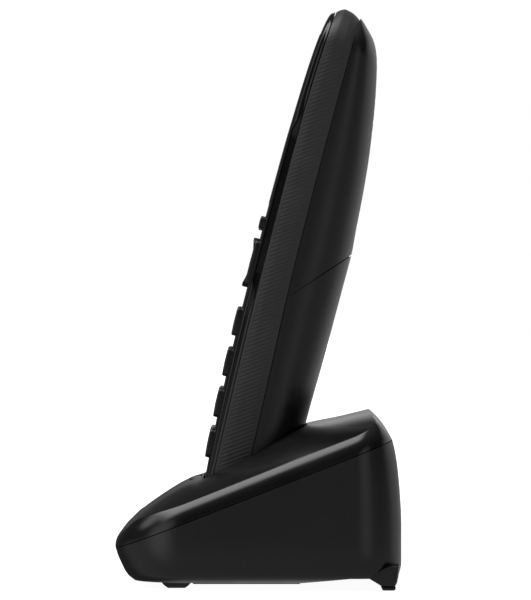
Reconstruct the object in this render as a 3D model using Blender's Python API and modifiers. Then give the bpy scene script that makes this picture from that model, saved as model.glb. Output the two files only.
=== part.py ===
"""Cordless phone standing in its charging base.

World frame: metres, +Z up, the front of the phone faces -Y, +X is the phone's
left side seen from the back. The origin is the bottom centre of the bounding
box, on the surface that the feet stand on.

Handset frame (the empty "handset_frame"): X across, Y = t from the front face
to the back, Z = s up the handset. It leans back by LEAN_DEG.
"""

import math

import bmesh
import bpy
import numpy as np
from mathutils import Matrix, Vector

# ---------------------------------------------------------------- dimensions
MM = 0.001
LEAN_DEG = 14.5  # the handset leans back in its cradle
HS_Y, HS_Z = -7.9, 28.7  # world place of the handset frame's origin

HS_HALF_W = 24.0  # half the width of the handset
HS_BOTTOM, HS_TOP = -5.0, 157.4  # along s
HS_R_TOP, HS_R_BOTTOM = 12.5, 6.5  # corner radii seen from the front
HS_TAPER = 1.3  # how much narrower each side is at the bottom
HS_TOP_BOW = 1.3  # rise of the top edge between its corners
SEAM = 0.3  # gap between pieces that meet
FRONT_WALL, COVER_WALL, CHASSIS_WALL = 1.5, 1.4, 1.4
CHASSIS_IN = 2.4  # how far the chassis lies inside the door's outer face
BAND_WALL = 2.0
RIM_IN, RIM_DROP = 0.6, 1.0  # front and back shells lie inside the crowned frame
FACE_DOME = 0.2  # how far the face falls from its centre line to its edge

# front face on the centre line, t at s
FRONT_S = (-5, 3, 20, 33, 60, 90, 110, 120, 130, 140, 150, 158)
FRONT_T = (-8.9, -9.4, -10.4, -10.95, -11.5, -11.45, -11.2, -10.88, -10.48, -9.9, -9.15, -8.4)
# back on the centre line
REAR_S = (-5, 31, 50, 70, 82, 90, 100, 110, 120, 130, 139, 145, 149.5, 153.2, 155.8)
REAR_T = (17.2, 17.55, 17.95, 18.1, 18.2, 17.65, 17.05, 16.25, 15.05, 13.55, 11.8, 10.3, 8.3, 5.0, 2.2)
# parting line between the front shell and the side frame
P1_S = (-5, 10, 30, 60, 90, 120, 136, 150, 158)
P1_T = (-6.6, -7.1, -7.6, -8.1, -8.2, -8.0, -7.4, -6.5, -5.8)
# parting line between the side frame and the back
P2_S = (-5, 12, 20, 40, 76, 100, 150, 158)
P2_T = (3.2, 3.1, 2.9, 2.3, 1.3, 1.2, 1.7, 1.9)
# slanted joint between the rear shell and the battery cover
COVER_SEAM_S, COVER_SEAM_T = 82.5, 18.2
COVER_SEAM_DEG = 47.6  # angle of its plane from the t axis

KEY_W, KEY_H, KEY_PROUD = 12.2, 9.3, 1.4
KEY_PITCH_X = 13.6
ROW_S = (52.9, 39.75, 26.6, 13.6)
KEY_GAP = 0.35
NAV_S, NAV_W, NAV_H = 72.0, 17.0, 16.0
CALL_X, CALL_W, CALL_H = 15.3, 9.2, 14.5
SOFT_S, SOFT_X, SOFT_W, SOFT_H = 85.0, 11.0, 14.0, 4.0
LENS_S0, LENS_S1, LENS_HALF_W = 91.6, 147.0, 19.6
LENS_BACK_T = -8.0
MAT_T0, MAT_T1 = -5.2, -4.6  # keypad mat
PCB_T0, PCB_T1 = -4.2, -3.1

CELL_X, CELL_T, CELL_R, CELL_S0, CELL_L = 6.1, 9.4, 5.1, 14.6, 42.6
HS_SCREW_X, HS_SCREW_S = 17.6, 60.75

BASE_HALF_W, BASE_Y0, BASE_Y1 = 50.0, -45.2, 45.2
BASE_R_FRONT, BASE_R_REAR = 20.0, 15.0
BASE_FRONT_BOW = 2.6
BASE_WALL = 2.0
# top of the base on the centre line, measured back from the front edge
TOP_D = (0.0, 1.6, 5.3, 9.7, 14.9, 20.9, 24.8, 28.6, 34.0, 44.0, 60.5, 72.0, 81.7)
TOP_Z = (12.9, 15.3, 19.1, 23.0, 26.8, 30.6, 32.5, 33.6, 36.7, 41.2, 49.6, 52.0, 54.3)
SEAM_RISE_DEG = 21.5  # slope of the joint between top cover and lower case
SEAM_Z0 = 11.7  # its height at the front edge
# the top cover's rounded edge: its height, and how far in its crease lies
EDGE_H, EDGE_IN_SIDE, EDGE_IN_REAR, EDGE_IN_FRONT = 6.0, 2.6, 5.9, 1.3

POCKET_FRONT_T, POCKET_REAR_T = -9.8, 18.1
POCKET_FLOOR_S, POCKET_HALF_W = -5.35, 23.9
# behind the contacts the cradle is deeper, which leaves the battery cover free to slide
REAR_FLOOR_S, REAR_FLOOR_T = -8.1, 3.0
BUTTON_T, BUTTON_S, BUTTON_W, BUTTON_H = -12.15, 1.0, 15.0, 3.0
BUTTON_SLOPE = 0.5  # its top follows the base's surface
CONTACT_X, CONTACT_T = 9.0, -1.5
BASE_SCREW_X, BASE_SCREW_Y = 36.0, 22.0


# ------------------------------------------------------------ scene helpers
for old in list(bpy.data.objects):
    bpy.data.objects.remove(old, do_unlink=True)
scene = bpy.context.scene
PARTS = bpy.data.collections.new("cordless_phone")
CUTS = bpy.data.collections.new("cutters")
scene.collection.children.link(PARTS)
scene.collection.children.link(CUTS)
CUTS.hide_render = True


def material(name, colour, roughness, metallic=0.0):
    mat = bpy.data.materials.new(name)
    mat.use_nodes = True
    shader = mat.node_tree.nodes["Principled BSDF"]
    shader.inputs["Base Color"].default_value = (*colour, 1.0)
    shader.inputs["Roughness"].default_value = roughness
    shader.inputs["Metallic"].default_value = metallic
    return mat


GLOSS = material("gloss_black_plastic", (0.012, 0.012, 0.013), 0.22)
SATIN = material("satin_black_plastic", (0.017, 0.017, 0.018), 0.42)
GRIP = material("textured_grip_plastic", (0.03, 0.03, 0.032), 0.6)
RUBBER = material("black_rubber", (0.02, 0.02, 0.02), 0.85)
LENS = material("display_lens", (0.01, 0.012, 0.015), 0.05)
GLASS = material("lcd_glass", (0.22, 0.26, 0.24), 0.12)
WHITE = material("white_plastic", (0.75, 0.75, 0.73), 0.45)
BOARD = material("circuit_board", (0.02, 0.14, 0.06), 0.5)
STEEL = material("plated_steel", (0.62, 0.62, 0.6), 0.3, 1.0)
GOLD = material("plated_contact", (0.8, 0.62, 0.3), 0.28, 1.0)
CELL = material("cell_jacket", (0.05, 0.17, 0.2), 0.35)
SILICONE = material("silicone_mat", (0.5, 0.5, 0.5), 0.7)

frame = bpy.data.objects.new("handset_frame", None)
frame.location = (0, HS_Y * MM, HS_Z * MM)
frame.rotation_euler = (math.radians(-LEAN_DEG), 0, 0)
scene.collection.objects.link(frame)


def place(name, mesh, mat=None, parent=None, location=(0, 0, 0), rotation=(0, 0, 0), cutter=False, smooth=35):
    obj = bpy.data.objects.new(name, mesh)
    (CUTS if cutter else PARTS).objects.link(obj)
    obj.location = [v * MM for v in location]
    obj.rotation_euler = rotation
    if parent is not None:
        obj.parent = parent
    if cutter:
        obj.hide_render = True
        obj.display_type = "WIRE"
    else:
        if not mesh.materials:
            mesh.materials.append(mat)
        mesh.shade_smooth()
        mesh.set_sharp_from_angle(angle=math.radians(smooth))
    return obj


def mesh_of(name, bm):
    bmesh.ops.remove_doubles(bm, verts=bm.verts, dist=1e-6)
    bmesh.ops.recalc_face_normals(bm, faces=bm.faces)
    mesh = bpy.data.meshes.new(name)
    bm.to_mesh(mesh)
    bm.free()
    return mesh


def box_mesh(name, lo, hi, bevel=0.0, segments=2):
    """A box from corner to corner in mm, with its edges rounded."""
    bm = bmesh.new()
    bmesh.ops.create_cube(bm, size=1.0)
    size = [(h - l) * MM for l, h in zip(lo, hi)]
    centre = [(h + l) / 2 * MM for l, h in zip(lo, hi)]
    bmesh.ops.transform(bm, matrix=Matrix.Translation(centre) @ Matrix.Diagonal((*size, 1)), verts=bm.verts)
    if bevel:
        bmesh.ops.bevel(bm, geom=bm.edges[:], offset=bevel * MM, segments=segments, profile=0.5, affect="EDGES")
    return mesh_of(name, bm)


def plate_mesh(name, lo, hi, corner, segments=3):
    """A flat plate across local Y with round corners."""
    mesh = box_mesh(name, lo, hi)
    bm = bmesh.new()
    bm.from_mesh(mesh)
    across = [e for e in bm.edges if abs(e.verts[0].co.x - e.verts[1].co.x) < 1e-7 and abs(e.verts[0].co.z - e.verts[1].co.z) < 1e-7]
    bmesh.ops.bevel(bm, geom=across, offset=corner * MM, segments=segments, profile=0.5, affect="EDGES")
    bm.to_mesh(mesh)
    bm.free()
    return mesh


def cylinder_mesh(name, radius, depth, axis="Z", centre=(0, 0, 0), segments=20, bevel=0.0):
    bm = bmesh.new()
    bmesh.ops.create_cone(bm, cap_ends=True, segments=segments, radius1=radius * MM, radius2=radius * MM, depth=depth * MM)
    turn = {"Z": Matrix.Identity(4), "Y": Matrix.Rotation(math.pi / 2, 4, "X"), "X": Matrix.Rotation(math.pi / 2, 4, "Y")}[axis]
    bmesh.ops.transform(bm, matrix=Matrix.Translation([c * MM for c in centre]) @ turn, verts=bm.verts)
    if bevel:
        rims = [e for e in bm.edges if any(len(f.verts) > 4 for f in e.link_faces)]
        bmesh.ops.bevel(bm, geom=rims, offset=bevel * MM, segments=2, profile=0.5, affect="EDGES")
    return mesh_of(name, bm)


def boolean(obj, other, operation="DIFFERENCE"):
    mod = obj.modifiers.new(operation.lower() + "_" + other.name, "BOOLEAN")
    mod.operation = operation
    mod.object = other
    mod.solver = "EXACT"
    return mod


def loft(name, rings, closed=True, cap_first=False, cap_last=False, join_ends=False):
    """Quads between rings that hold the same number of points (mm)."""
    bm = bmesh.new()
    rows = [[bm.verts.new([c * MM for c in p]) for p in ring] for ring in rings]
    count = len(rows[0])
    pairs = list(zip(rows, rows[1:]))
    if join_ends:
        pairs.append((rows[-1], rows[0]))
    for a, b in pairs:
        for i in range(count if closed else count - 1):
            j = (i + 1) % count
            bm.faces.new((a[i], a[j], b[j], b[i]))
    if cap_first:
        bm.faces.new(rows[0][::-1])
    if cap_last:
        bm.faces.new(rows[-1])
    return mesh_of(name, bm)


def smooth_curve(xs, ys):
    """Monotone cubic through the design points."""
    x, y = np.array(xs, float), np.array(ys, float)
    h, d = np.diff(x), np.diff(y) / np.diff(x)
    m = np.zeros(len(x))
    m[0], m[-1] = d[0], d[-1]
    for i in range(1, len(x) - 1):
        if d[i - 1] * d[i] > 0:
            w1, w2 = 2 * h[i] + h[i - 1], h[i] + 2 * h[i - 1]
            m[i] = (w1 + w2) / (w1 / d[i - 1] + w2 / d[i])

    def value(at):
        a = min(max(at, x[0]), x[-1])
        i = min(max(int(np.searchsorted(x, a)) - 1, 0), len(h) - 1)
        u = (a - x[i]) / h[i]
        return float(
            (1 + 2 * u) * (1 - u) ** 2 * y[i]
            + u * (1 - u) ** 2 * h[i] * m[i]
            + u * u * (3 - 2 * u) * y[i + 1]
            + u * u * (u - 1) * h[i] * m[i + 1]
        )

    return value


front_t = smooth_curve(FRONT_S, FRONT_T)
rear_t = smooth_curve(REAR_S, REAR_T)
part1_t = smooth_curve(P1_S, P1_T)
part2_t = smooth_curve(P2_S, P2_T)
top_z = smooth_curve(TOP_D, TOP_Z)


# ------------------------------------------------------- the handset outline
def rounded_outline(half_w, v0, v1, r0, r1, side=12, arc=4, edge=6):
    """Counter-clockwise points (x, v, nx, nv) of a rounded rectangle, from
    the middle of its low edge round."""
    pts = []
    for i in range(edge // 2):
        pts.append(((half_w - r0) * i / (edge // 2), v0, 0.0, -1.0))
    for i in range(arc + 1):
        a = -math.pi / 2 + math.pi / 2 * i / arc
        pts.append((half_w - r0 + r0 * math.cos(a), v0 + r0 + r0 * math.sin(a), math.cos(a), math.sin(a)))
    for i in range(1, side):
        pts.append((half_w, v0 + r0 + (v1 - r1 - v0 - r0) * i / side, 1.0, 0.0))
    for i in range(arc + 1):
        a = math.pi / 2 * i / arc
        pts.append((half_w - r1 + r1 * math.cos(a), v1 - r1 + r1 * math.sin(a), math.cos(a), math.sin(a)))
    for i in range(1, edge // 2 + 1):
        pts.append(((half_w - r1) * (1 - i / (edge // 2)), v1, 0.0, 1.0))
    left = [(-x, v, -nx, nv) for x, v, nx, nv in pts[1:-1]]
    return pts + left[::-1]


HS_RING = rounded_outline(HS_HALF_W, HS_BOTTOM, HS_TOP - HS_TOP_BOW, HS_R_BOTTOM, HS_R_TOP)


def hs_outline(inset, drop=0.0):
    out = []
    for x, s, nx, ns in HS_RING:
        x, s = x - nx * inset, s - ns * inset - drop * max(0.0, ns) ** 2
        low = max(0.0, (95 - s) / 100)
        x *= 1 - HS_TAPER / HS_HALF_W * low * low
        if s > 100:
            lift = max(0.0, min(1.0, (s - 143) / 13))
            s += HS_TOP_BOW * lift * (1 - (x / HS_HALF_W) ** 2)
        out.append((x, s))
    return out


def half_width_at(outline):
    right = sorted(((s, x) for x, s in outline if x >= 0), key=lambda p: p[0])
    ss, xs = [p[0] for p in right], [p[1] for p in right]
    return lambda s: float(np.interp(s, ss, xs))


def spine_of(s):
    return min(max(s, 14.0), 132.0)


def front_point(x, s, edge_s, rho, offset):
    dome = FACE_DOME * (0.45 + 0.55 * math.exp(-(((s - 75) / 62) ** 4)))
    face = front_t(s) + dome * (x / 22.5) ** 2 + offset
    edge = part1_t(edge_s) - SEAM / 2
    end = max(0.0, (edge_s - 138) / 19)
    power = 7.0 - 3.8 * min(1.0, end)
    return edge + (face - edge) * (1 - rho**power) ** (1 / power)


def rear_point(x, s, edge_s, width, low, offset):
    edge = part2_t(edge_s) + SEAM / 2
    depth = rear_t(s) - offset - edge
    foot = max(0.0, (9.0 - s) / (9.0 - low))
    depth *= max(0.0, 1 - min(1.0, foot) ** 6) ** (1 / 6)
    xi = min(1.0, abs(x) / max(width(s), 1e-6))
    return edge + max(0.0, depth) * max(0.0, 1 - xi**2.7) ** (1 / 2.7)


def cap_rings(outline, rhos, height):
    """Rings that shrink from the outline to the handset's centre line."""
    rings = []
    for rho in rhos:
        ring = []
        for x, s in outline:
            m = spine_of(s)
            px, ps = x * rho, m + (s - m) * rho
            ring.append((px, height(px, ps, s, rho), ps))
        rings.append(ring)
    return rings


FRONT_RHO = (1.0, 0.993, 0.975, 0.94, 0.86, 0.62, 0.32, 0.0)
REAR_RHO = (1.0, 0.993, 0.972, 0.93, 0.86, 0.74, 0.56, 0.3, 0.0)


def front_rings(inset, offset, rhos=FRONT_RHO):
    return cap_rings(hs_outline(RIM_IN + inset, RIM_DROP), rhos, lambda x, s, e, rho: front_point(x, s, e, rho, offset))


def rear_rings(inset, rhos=REAR_RHO):
    outline = hs_outline(RIM_IN + inset, RIM_DROP)
    width = half_width_at(outline)
    low = min(s for x, s in outline)

    def height(x, s, e, rho):
        return rear_point(x, s, e, width, low, inset) if rho < 1 else part2_t(e) + SEAM / 2

    return cap_rings(outline, rhos, height)


def rear_solid(name, inset, tail=0.0):
    """The body behind the side frame, solid, pulled in all round by inset."""
    lid = cap_rings(hs_outline(RIM_IN + inset, RIM_DROP), (0.0, 0.55, 1.0), lambda x, s, e, rho: part2_t(e) + SEAM / 2 - tail)
    rings = rear_rings(inset)
    return loft(name, lid + (rings if tail else rings[1:]))


def hs_cutter(name, mesh, **kw):
    return place(name, mesh, parent=frame, cutter=True, **kw)


def hs_part(name, mesh, mat, **kw):
    return place(name, mesh, mat, parent=frame, **kw)


# ------------------------------------------------------------- front shell
outer = front_rings(0.0, 0.0)
inner = front_rings(FRONT_WALL, FRONT_WALL)
front_shell = hs_part("handset_front_shell", loft("handset_front_shell", outer[::-1] + inner), GLOSS)
# the solid under the face, which shapes the lens
face_body = hs_cutter("face_body", loft("face_body", cap_rings(hs_outline(RIM_IN, RIM_DROP), (0.0, 0.55, 1.0), lambda x, s, e, rho: 3.0) + front_rings(0.0, -0.15)))


def face_frame(x, s, roll=True):
    """Place and turn of a key on the face: its local Z points out of the face."""
    slope = (front_t(s + 3) - front_t(s - 3)) / 6
    dome = FACE_DOME * (x / 22.5) ** 2
    return (x, front_t(s) + dome, s), (math.pi / 2 - math.atan(slope), 0, 0)


def key_mesh(name, w, h, proud, bevel=0.7, flange=0.7, top=2.4, low=3.0, corner=1.3):
    """A key cap with the lip that keeps it behind the shell, local Z outward."""
    bm = bmesh.new()
    bmesh.ops.create_cube(bm, size=1.0)
    bmesh.ops.transform(
        bm,
        matrix=Matrix.Translation((0, 0, -(top + low) / 2 * MM)) @ Matrix.Diagonal(((w + 2 * flange) * MM, (h + 2 * flange) * MM, (low - top) * MM, 1)),
        verts=bm.verts,
    )
    face = max(bm.faces, key=lambda f: f.calc_center_median().z)
    bmesh.ops.inset_region(bm, faces=[face], thickness=flange * MM)
    up = bmesh.ops.extrude_discrete_faces(bm, faces=[face])["faces"][0]
    bmesh.ops.translate(bm, vec=(0, 0, (top + proud) * MM), verts=up.verts)
    bm.edges.ensure_lookup_table()
    posts = [e for e in bm.edges if abs(e.verts[0].co.z - e.verts[1].co.z) > (top + proud) * 0.9 * MM]
    bmesh.ops.bevel(bm, geom=posts, offset=corner * MM, segments=2, profile=0.5, affect="EDGES")
    crown = max(bm.faces, key=lambda f: f.calc_center_median().z)
    bmesh.ops.bevel(bm, geom=list(crown.edges), offset=bevel * MM, segments=2, profile=0.5, affect="EDGES")
    return mesh_of(name, bm)


def slot_cutter(name, x, s, w, h, radius=1.5):
    loc, rot = face_frame(x, s)
    mesh = box_mesh(name, (-w / 2 - KEY_GAP, -h / 2 - KEY_GAP, -5.5), (w / 2 + KEY_GAP, h / 2 + KEY_GAP, 5.0))
    bm = bmesh.new()
    bm.from_mesh(mesh)
    posts = [e for e in bm.edges if abs(e.verts[0].co.z - e.verts[1].co.z) > 5 * MM]
    bmesh.ops.bevel(bm, geom=posts, offset=radius * MM, segments=2, profile=0.5, affect="EDGES")
    bm.to_mesh(mesh)
    bm.free()
    return hs_cutter(name, mesh, location=loc, rotation=rot)


dial_key = key_mesh("dial_key", KEY_W, KEY_H, KEY_PROUD)
DIAL_NAMES = ("1", "2", "3", "4", "5", "6", "7", "8", "9", "star", "0", "hash")
for n, label in enumerate(DIAL_NAMES):
    kx, ks = (n % 3 - 1) * KEY_PITCH_X, ROW_S[n // 3]
    loc, rot = face_frame(kx, ks)
    hs_part("key_" + label, dial_key, GLOSS, location=loc, rotation=rot)
    boolean(front_shell, slot_cutter("slot_" + label, kx, ks, KEY_W, KEY_H))

for label, kx in (("talk_key", -CALL_X), ("end_key", CALL_X)):
    loc, rot = face_frame(kx, NAV_S)
    hs_part(label, key_mesh(label, CALL_W, CALL_H, 1.2, flange=0.5), GLOSS, location=loc, rotation=rot)
    boolean(front_shell, slot_cutter("slot_" + label, kx, NAV_S, CALL_W, CALL_H))
for label, kx in (("soft_key_left", -SOFT_X), ("soft_key_right", SOFT_X)):
    loc, rot = face_frame(kx, SOFT_S)
    hs_part(label, key_mesh(label, SOFT_W, SOFT_H, 1.45, flange=0.5, bevel=0.5, corner=1.0), GLOSS, location=loc, rotation=rot)
    boolean(front_shell, slot_cutter("slot_" + label, kx, SOFT_S, SOFT_W, SOFT_H, 1.2))

# navigation key: a dished rocker with a hole for the OK key
nav_loc, nav_rot = face_frame(0, NAV_S)
nav = hs_part("nav_key", key_mesh("nav_key", NAV_W, NAV_H, 1.8, bevel=0.5, flange=0.6, top=2.5, low=3.1, corner=3.2), GLOSS, location=nav_loc, rotation=nav_rot)
dish = hs_cutter("nav_dish", cylinder_mesh("nav_dish", 24.0, 30.0, "X", (0, 0, 24.8), 72), location=nav_loc, rotation=nav_rot)
boolean(nav, dish)
ok_hole = hs_cutter("ok_hole", cylinder_mesh("ok_hole", 3.4, 14.0, "Z", (0, 0, 0), 24), location=nav_loc, rotation=nav_rot)
boolean(nav, ok_hole)
boolean(front_shell, slot_cutter("slot_nav", 0, NAV_S, NAV_W, NAV_H, 3.2))


def turned(name, profile, mat, parent=None, location=(0, 0, 0), rotation=(0, 0, 0), steps=20):
    """A solid of revolution about local Z from a closed (r, z) profile that
    starts and ends on the axis, top to bottom."""
    bm = bmesh.new()
    verts = [bm.verts.new((r * MM, 0, z * MM)) for r, z in profile]
    for a, b in zip(verts, verts[1:]):
        bm.edges.new((a, b))
    mesh = bpy.data.meshes.new(name)
    bm.to_mesh(mesh)
    bm.free()
    obj = bpy.data.objects.new(name, mesh)
    PARTS.objects.link(obj)
    obj.location = [v * MM for v in location]
    obj.rotation_euler = rotation
    if parent is not None:
        obj.parent = parent
    mesh.materials.append(mat)
    mod = obj.modifiers.new("turn", "SCREW")
    mod.axis = "Z"
    mod.steps = mod.render_steps = steps
    mod.use_merge_vertices = True
    mod.merge_threshold = 1e-6
    mod.use_smooth_shade = True
    return obj


turned("ok_key", ((0, 0.75), (2.3, 0.75), (2.8, 0.35), (2.8, -4.4), (3.6, -4.4), (3.6, -4.9), (0, -4.9)), GLOSS, frame, nav_loc, nav_rot)
pivot = hs_part("nav_pivot", box_mesh("nav_pivot", (-6, -6, -4.1), (6, 6, -3.55), 0.12, 1), WHITE, location=nav_loc, rotation=nav_rot)
pivot_hole = hs_cutter("pivot_hole", cylinder_mesh("pivot_hole", 3.7, 3.0, "Z", (0, 0, -3.7), 20), location=nav_loc, rotation=nav_rot)
boolean(pivot, pivot_hole)

# display lens: the face's own curve, with a flat back
lens_box = (LENS_HALF_W, LENS_S0, LENS_S1)
lens_cut = hs_cutter("lens_window", box_mesh("lens_window", (-LENS_HALF_W - 0.3, -20, LENS_S0 - 0.3), (LENS_HALF_W + 0.3, -5, LENS_S1 + 0.3)))
boolean(front_shell, lens_cut)
lens = hs_part("display_lens", box_mesh("display_lens", (-LENS_HALF_W, -15, LENS_S0), (LENS_HALF_W, LENS_BACK_T, LENS_S1)), LENS)
boolean(lens, face_body, "INTERSECT")
# ear slot and microphone hole
ear = hs_cutter("ear_slot", box_mesh("ear_slot", (-6.0, -14, 150.0), (6.0, -5.5, 151.5)))
boolean(front_shell, ear)
mic_hole = hs_cutter("mic_hole", cylinder_mesh("mic_hole", 0.8, 12, "Y", (0, -9, 3.6), 10))
boolean(front_shell, mic_hole)
# bosses for the two handset screws
for side, sx in (("left", -HS_SCREW_X), ("right", HS_SCREW_X)):
    boss = hs_cutter("front_boss_" + side, cylinder_mesh("front_boss_" + side, 2.3, 7.3, "Y", (sx, -6.25, HS_SCREW_S), 16))
    boolean(front_shell, boss, "UNION")
    bore = hs_cutter("front_bore_" + side, cylinder_mesh("front_bore_" + side, 1.4, 6.4, "Y", (sx, -5.2, HS_SCREW_S), 12))
    boolean(front_shell, bore)

# ---------------------------------------------------------- side grip frame
BAND_LEVELS = ((0.0, 0.6, 0.9), (0.13, 0.25, 0.4), (0.33, 0.0, 0.05), (0.6, 0.0, 0.4), (0.84, 0.25, 0.9), (1.0, 0.6, 1.3))


def band_ring(share, inset, drop):
    outline = hs_outline(inset, drop)
    ring = []
    for x, s in outline:
        a, b = part1_t(s) + SEAM / 2, part2_t(s) - SEAM / 2
        ring.append((x, a + (b - a) * share, s))
    return ring


band = [band_ring(*level) for level in BAND_LEVELS]
band += [band_ring(1.0, BAND_WALL + 0.6, 0.6), band_ring(0.0, BAND_WALL + 0.6, 0.6)]
grip = hs_part("side_grip_frame", loft("side_grip_frame", band, join_ends=True), GRIP)

# --------------------------------------------------- rear shell and its door
lean = math.radians(COVER_SEAM_DEG)
seam_rot = (lean, 0, 0)
seam_loc = (0, COVER_SEAM_T, COVER_SEAM_S)


def seam_block(name, above, gap):
    """A big block whose flat face lies on the slanted seam."""
    lo, hi = ((-60, -80, gap), (60, 80, 130)) if above else ((-60, -80, -160), (60, 80, -gap))
    return hs_cutter(name, box_mesh(name, lo, hi), location=seam_loc, rotation=seam_rot)


below = seam_block("below_seam", False, 0.0)
above = seam_block("above_seam", True, 1.7)
below_upper = seam_block("below_upper", False, -3.2)
above_cover = seam_block("above_cover", True, -SEAM)
rear = hs_part("handset_rear_shell", rear_solid("handset_rear_shell", 0.0), SATIN)
boolean(rear, below)
chassis = hs_cutter("chassis_body", rear_solid("chassis_body", CHASSIS_IN, tail=1.0))
boolean(chassis, above)
boolean(rear, chassis, "UNION")
boolean(rear, hs_cutter("rear_void", rear_solid("rear_void", CHASSIS_IN + CHASSIS_WALL, tail=3.0)))
upper_void = hs_cutter("upper_void", rear_solid("upper_void", 1.7, tail=2.0))
boolean(upper_void, below_upper)
boolean(rear, upper_void)
tray = hs_cutter("tray_block", box_mesh("tray_block", (-13.1, 2.75, 8.0), (13.1, 25, 61.8)))
chassis_full = hs_cutter("chassis_full", rear_solid("chassis_full", CHASSIS_IN + 0.1, tail=1.0))
boolean(tray, chassis_full, "INTERSECT")
boolean(rear, tray, "UNION")
boolean(rear, hs_cutter("tray_void", box_mesh("tray_void", (-11.9, 3.9, 9.2), (11.9, 30, 60.6))))
for side, sx in (("left", -HS_SCREW_X), ("right", HS_SCREW_X)):
    post = hs_cutter("rear_post_" + side, cylinder_mesh("rear_post_" + side, 3.5, 28, "Y", (sx, 11.4, HS_SCREW_S), 18))
    boolean(post, hs_cutter("post_limit_" + side, rear_solid("post_limit_" + side, CHASSIS_IN + 0.15, tail=5.0)), "INTERSECT")
    boolean(rear, post, "UNION")
    boolean(rear, hs_cutter("rear_bore_" + side, cylinder_mesh("rear_bore_" + side, 1.45, 30, "Y", (sx, 5, HS_SCREW_S), 12)))
    boolean(rear, hs_cutter("rear_sink_" + side, cylinder_mesh("rear_sink_" + side, 2.8, 26, "Y", (sx, 17.0, HS_SCREW_S), 16)))
for i in range(5):
    row_s = 121.0 + 3.4 * i
    boolean(rear, hs_cutter("ringer_slot_%d" % i, box_mesh("ringer_slot_%d" % i, (-6.5, 5.0, row_s), (6.5, 25, row_s + 1.3))))

cover = hs_part("battery_cover", rear_solid("battery_cover", 0.0), SATIN)
boolean(cover, hs_cutter("cover_void", rear_solid("cover_void", COVER_WALL, tail=1.5)))
boolean(cover, above_cover)

# ------------------------------------------------------ inside the handset
hs_part("lcd_module", box_mesh("lcd_module", (-18, -7.6, 97), (18, -6.2, 143), 0.15, 1), GLASS)
holder = hs_part("lcd_holder", plate_mesh("lcd_holder", (-19.2, -5.9, 94.5), (19.2, -5.0, 145), 2.5), WHITE)
hs_board = hs_part("handset_circuit_board", plate_mesh("handset_circuit_board", (-19.4, PCB_T0, -1.2), (19.4, PCB_T1, 147.3), 4.5), BOARD)
mat_sheet = hs_part("keypad_membrane", plate_mesh("keypad_membrane", (-19.4, MAT_T0, 3.0), (19.4, MAT_T1, 89.0), 2.5), SILICONE)
for side, sx in (("left", -HS_SCREW_X), ("right", HS_SCREW_X)):
    notch = hs_cutter("notch_" + side, cylinder_mesh("notch_" + side, 4.1, 12, "Y", (sx, -4, HS_SCREW_S), 18))
    boolean(hs_board, notch)
    boolean(mat_sheet, notch)
hs_part("earpiece_receiver", cylinder_mesh("earpiece_receiver", 2.9, 2.6, "Y", (0, -5.6, 150.6), 20, 0.3), STEEL)
hs_part("microphone", cylinder_mesh("microphone", 2.0, 1.5, "Y", (0, -6.2, 0.4), 16, 0.2), STEEL)
hs_part("ringer_speaker", cylinder_mesh("ringer_speaker", 9.5, 4.2, "Y", (0, 6.9, 127.5), 28, 0.6), STEEL)
hs_part("rf_shield", box_mesh("rf_shield", (-12, -2.8, 84), (12, -0.6, 108), 0.5), STEEL)

for side, cx in (("left", -CELL_X), ("right", CELL_X)):
    flip = math.pi if side == "right" else 0.0
    mid = CELL_S0 + CELL_L / 2
    half = CELL_L / 2
    turned(
        "battery_" + side,
        ((0, half + 1.0), (1.8, half + 1.0), (1.8, half), (CELL_R - 0.4, half), (CELL_R, half - 0.4), (CELL_R, -half + 0.4), (CELL_R - 0.4, -half), (0, -half)),
        CELL, frame, (cx, CELL_T, mid), (flip, 0, 0),
    )
hs_part("battery_contact_top", box_mesh("battery_contact_top", (-10.6, 5.0, 59.5), (10.6, 14.0, 60.0), 0.08, 1), STEEL)
for side, cx in (("left", -CELL_X), ("right", CELL_X)):
    hs_part("battery_contact_" + side, box_mesh("battery_contact_" + side, (cx - 4.4, 5.0, 9.8), (cx + 4.4, 14.0, 10.3), 0.08, 1), STEEL)
    # a flattened coil between the plate and the cell
    s0, s1, turns, per = 11.2, CELL_S0 - 1.8, 2.5, 10
    if side == "left":
        s0, s1 = 11.2, CELL_S0 - 0.9
    else:
        s0, s1 = 11.2, CELL_S0 - 1.9
    curve = bpy.data.curves.new("battery_spring_" + side, "CURVE")
    curve.dimensions = "3D"
    count = int(turns * per) + 1
    spline = curve.splines.new("POLY")
    spline.points.add(count - 1)
    for i in range(count):
        a, share = 2 * math.pi * i / per, i / (count - 1)
        r = 3.9 - 1.6 * share
        spline.points[i].co = ((cx + r * math.cos(a)) * MM, (CELL_T + r * math.sin(a)) * MM, (s0 + (s1 - s0) * share) * MM, 1)
    curve.bevel_depth = 0.3 * MM
    curve.bevel_resolution = 1
    curve.use_fill_caps = True
    curve.materials.append(STEEL)
    coil = bpy.data.objects.new("battery_spring_" + side, curve)
    PARTS.objects.link(coil)
    coil.parent = frame

for side, cx in (("left", -CONTACT_X), ("right", CONTACT_X)):
    slot = hs_cutter("plate_slot_" + side, box_mesh("plate_slot_" + side, (cx - 2.0, CONTACT_T - 2.3, -9), (cx + 2.0, CONTACT_T + 2.3, 0)))
    boolean(grip, slot)
    hs_part("handset_contact_" + side, box_mesh("handset_contact_" + side, (cx - 1.7, CONTACT_T - 2.0, -4.9), (cx + 1.7, CONTACT_T + 2.0, -1.8), 0.3), GOLD)

SCREW = ((0, 0.9), (1.6, 0.9), (2.4, 0.3), (2.4, -0.6), (1.1, -0.6), (1.1, -8.0), (0.5, -9.0), (0, -9.0))
for side, sx in (("left", -HS_SCREW_X), ("right", HS_SCREW_X)):
    turned("handset_screw_" + side, SCREW, STEEL, frame, (sx, 5.0, HS_SCREW_S), (-math.pi / 2, 0, 0), 14)

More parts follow.
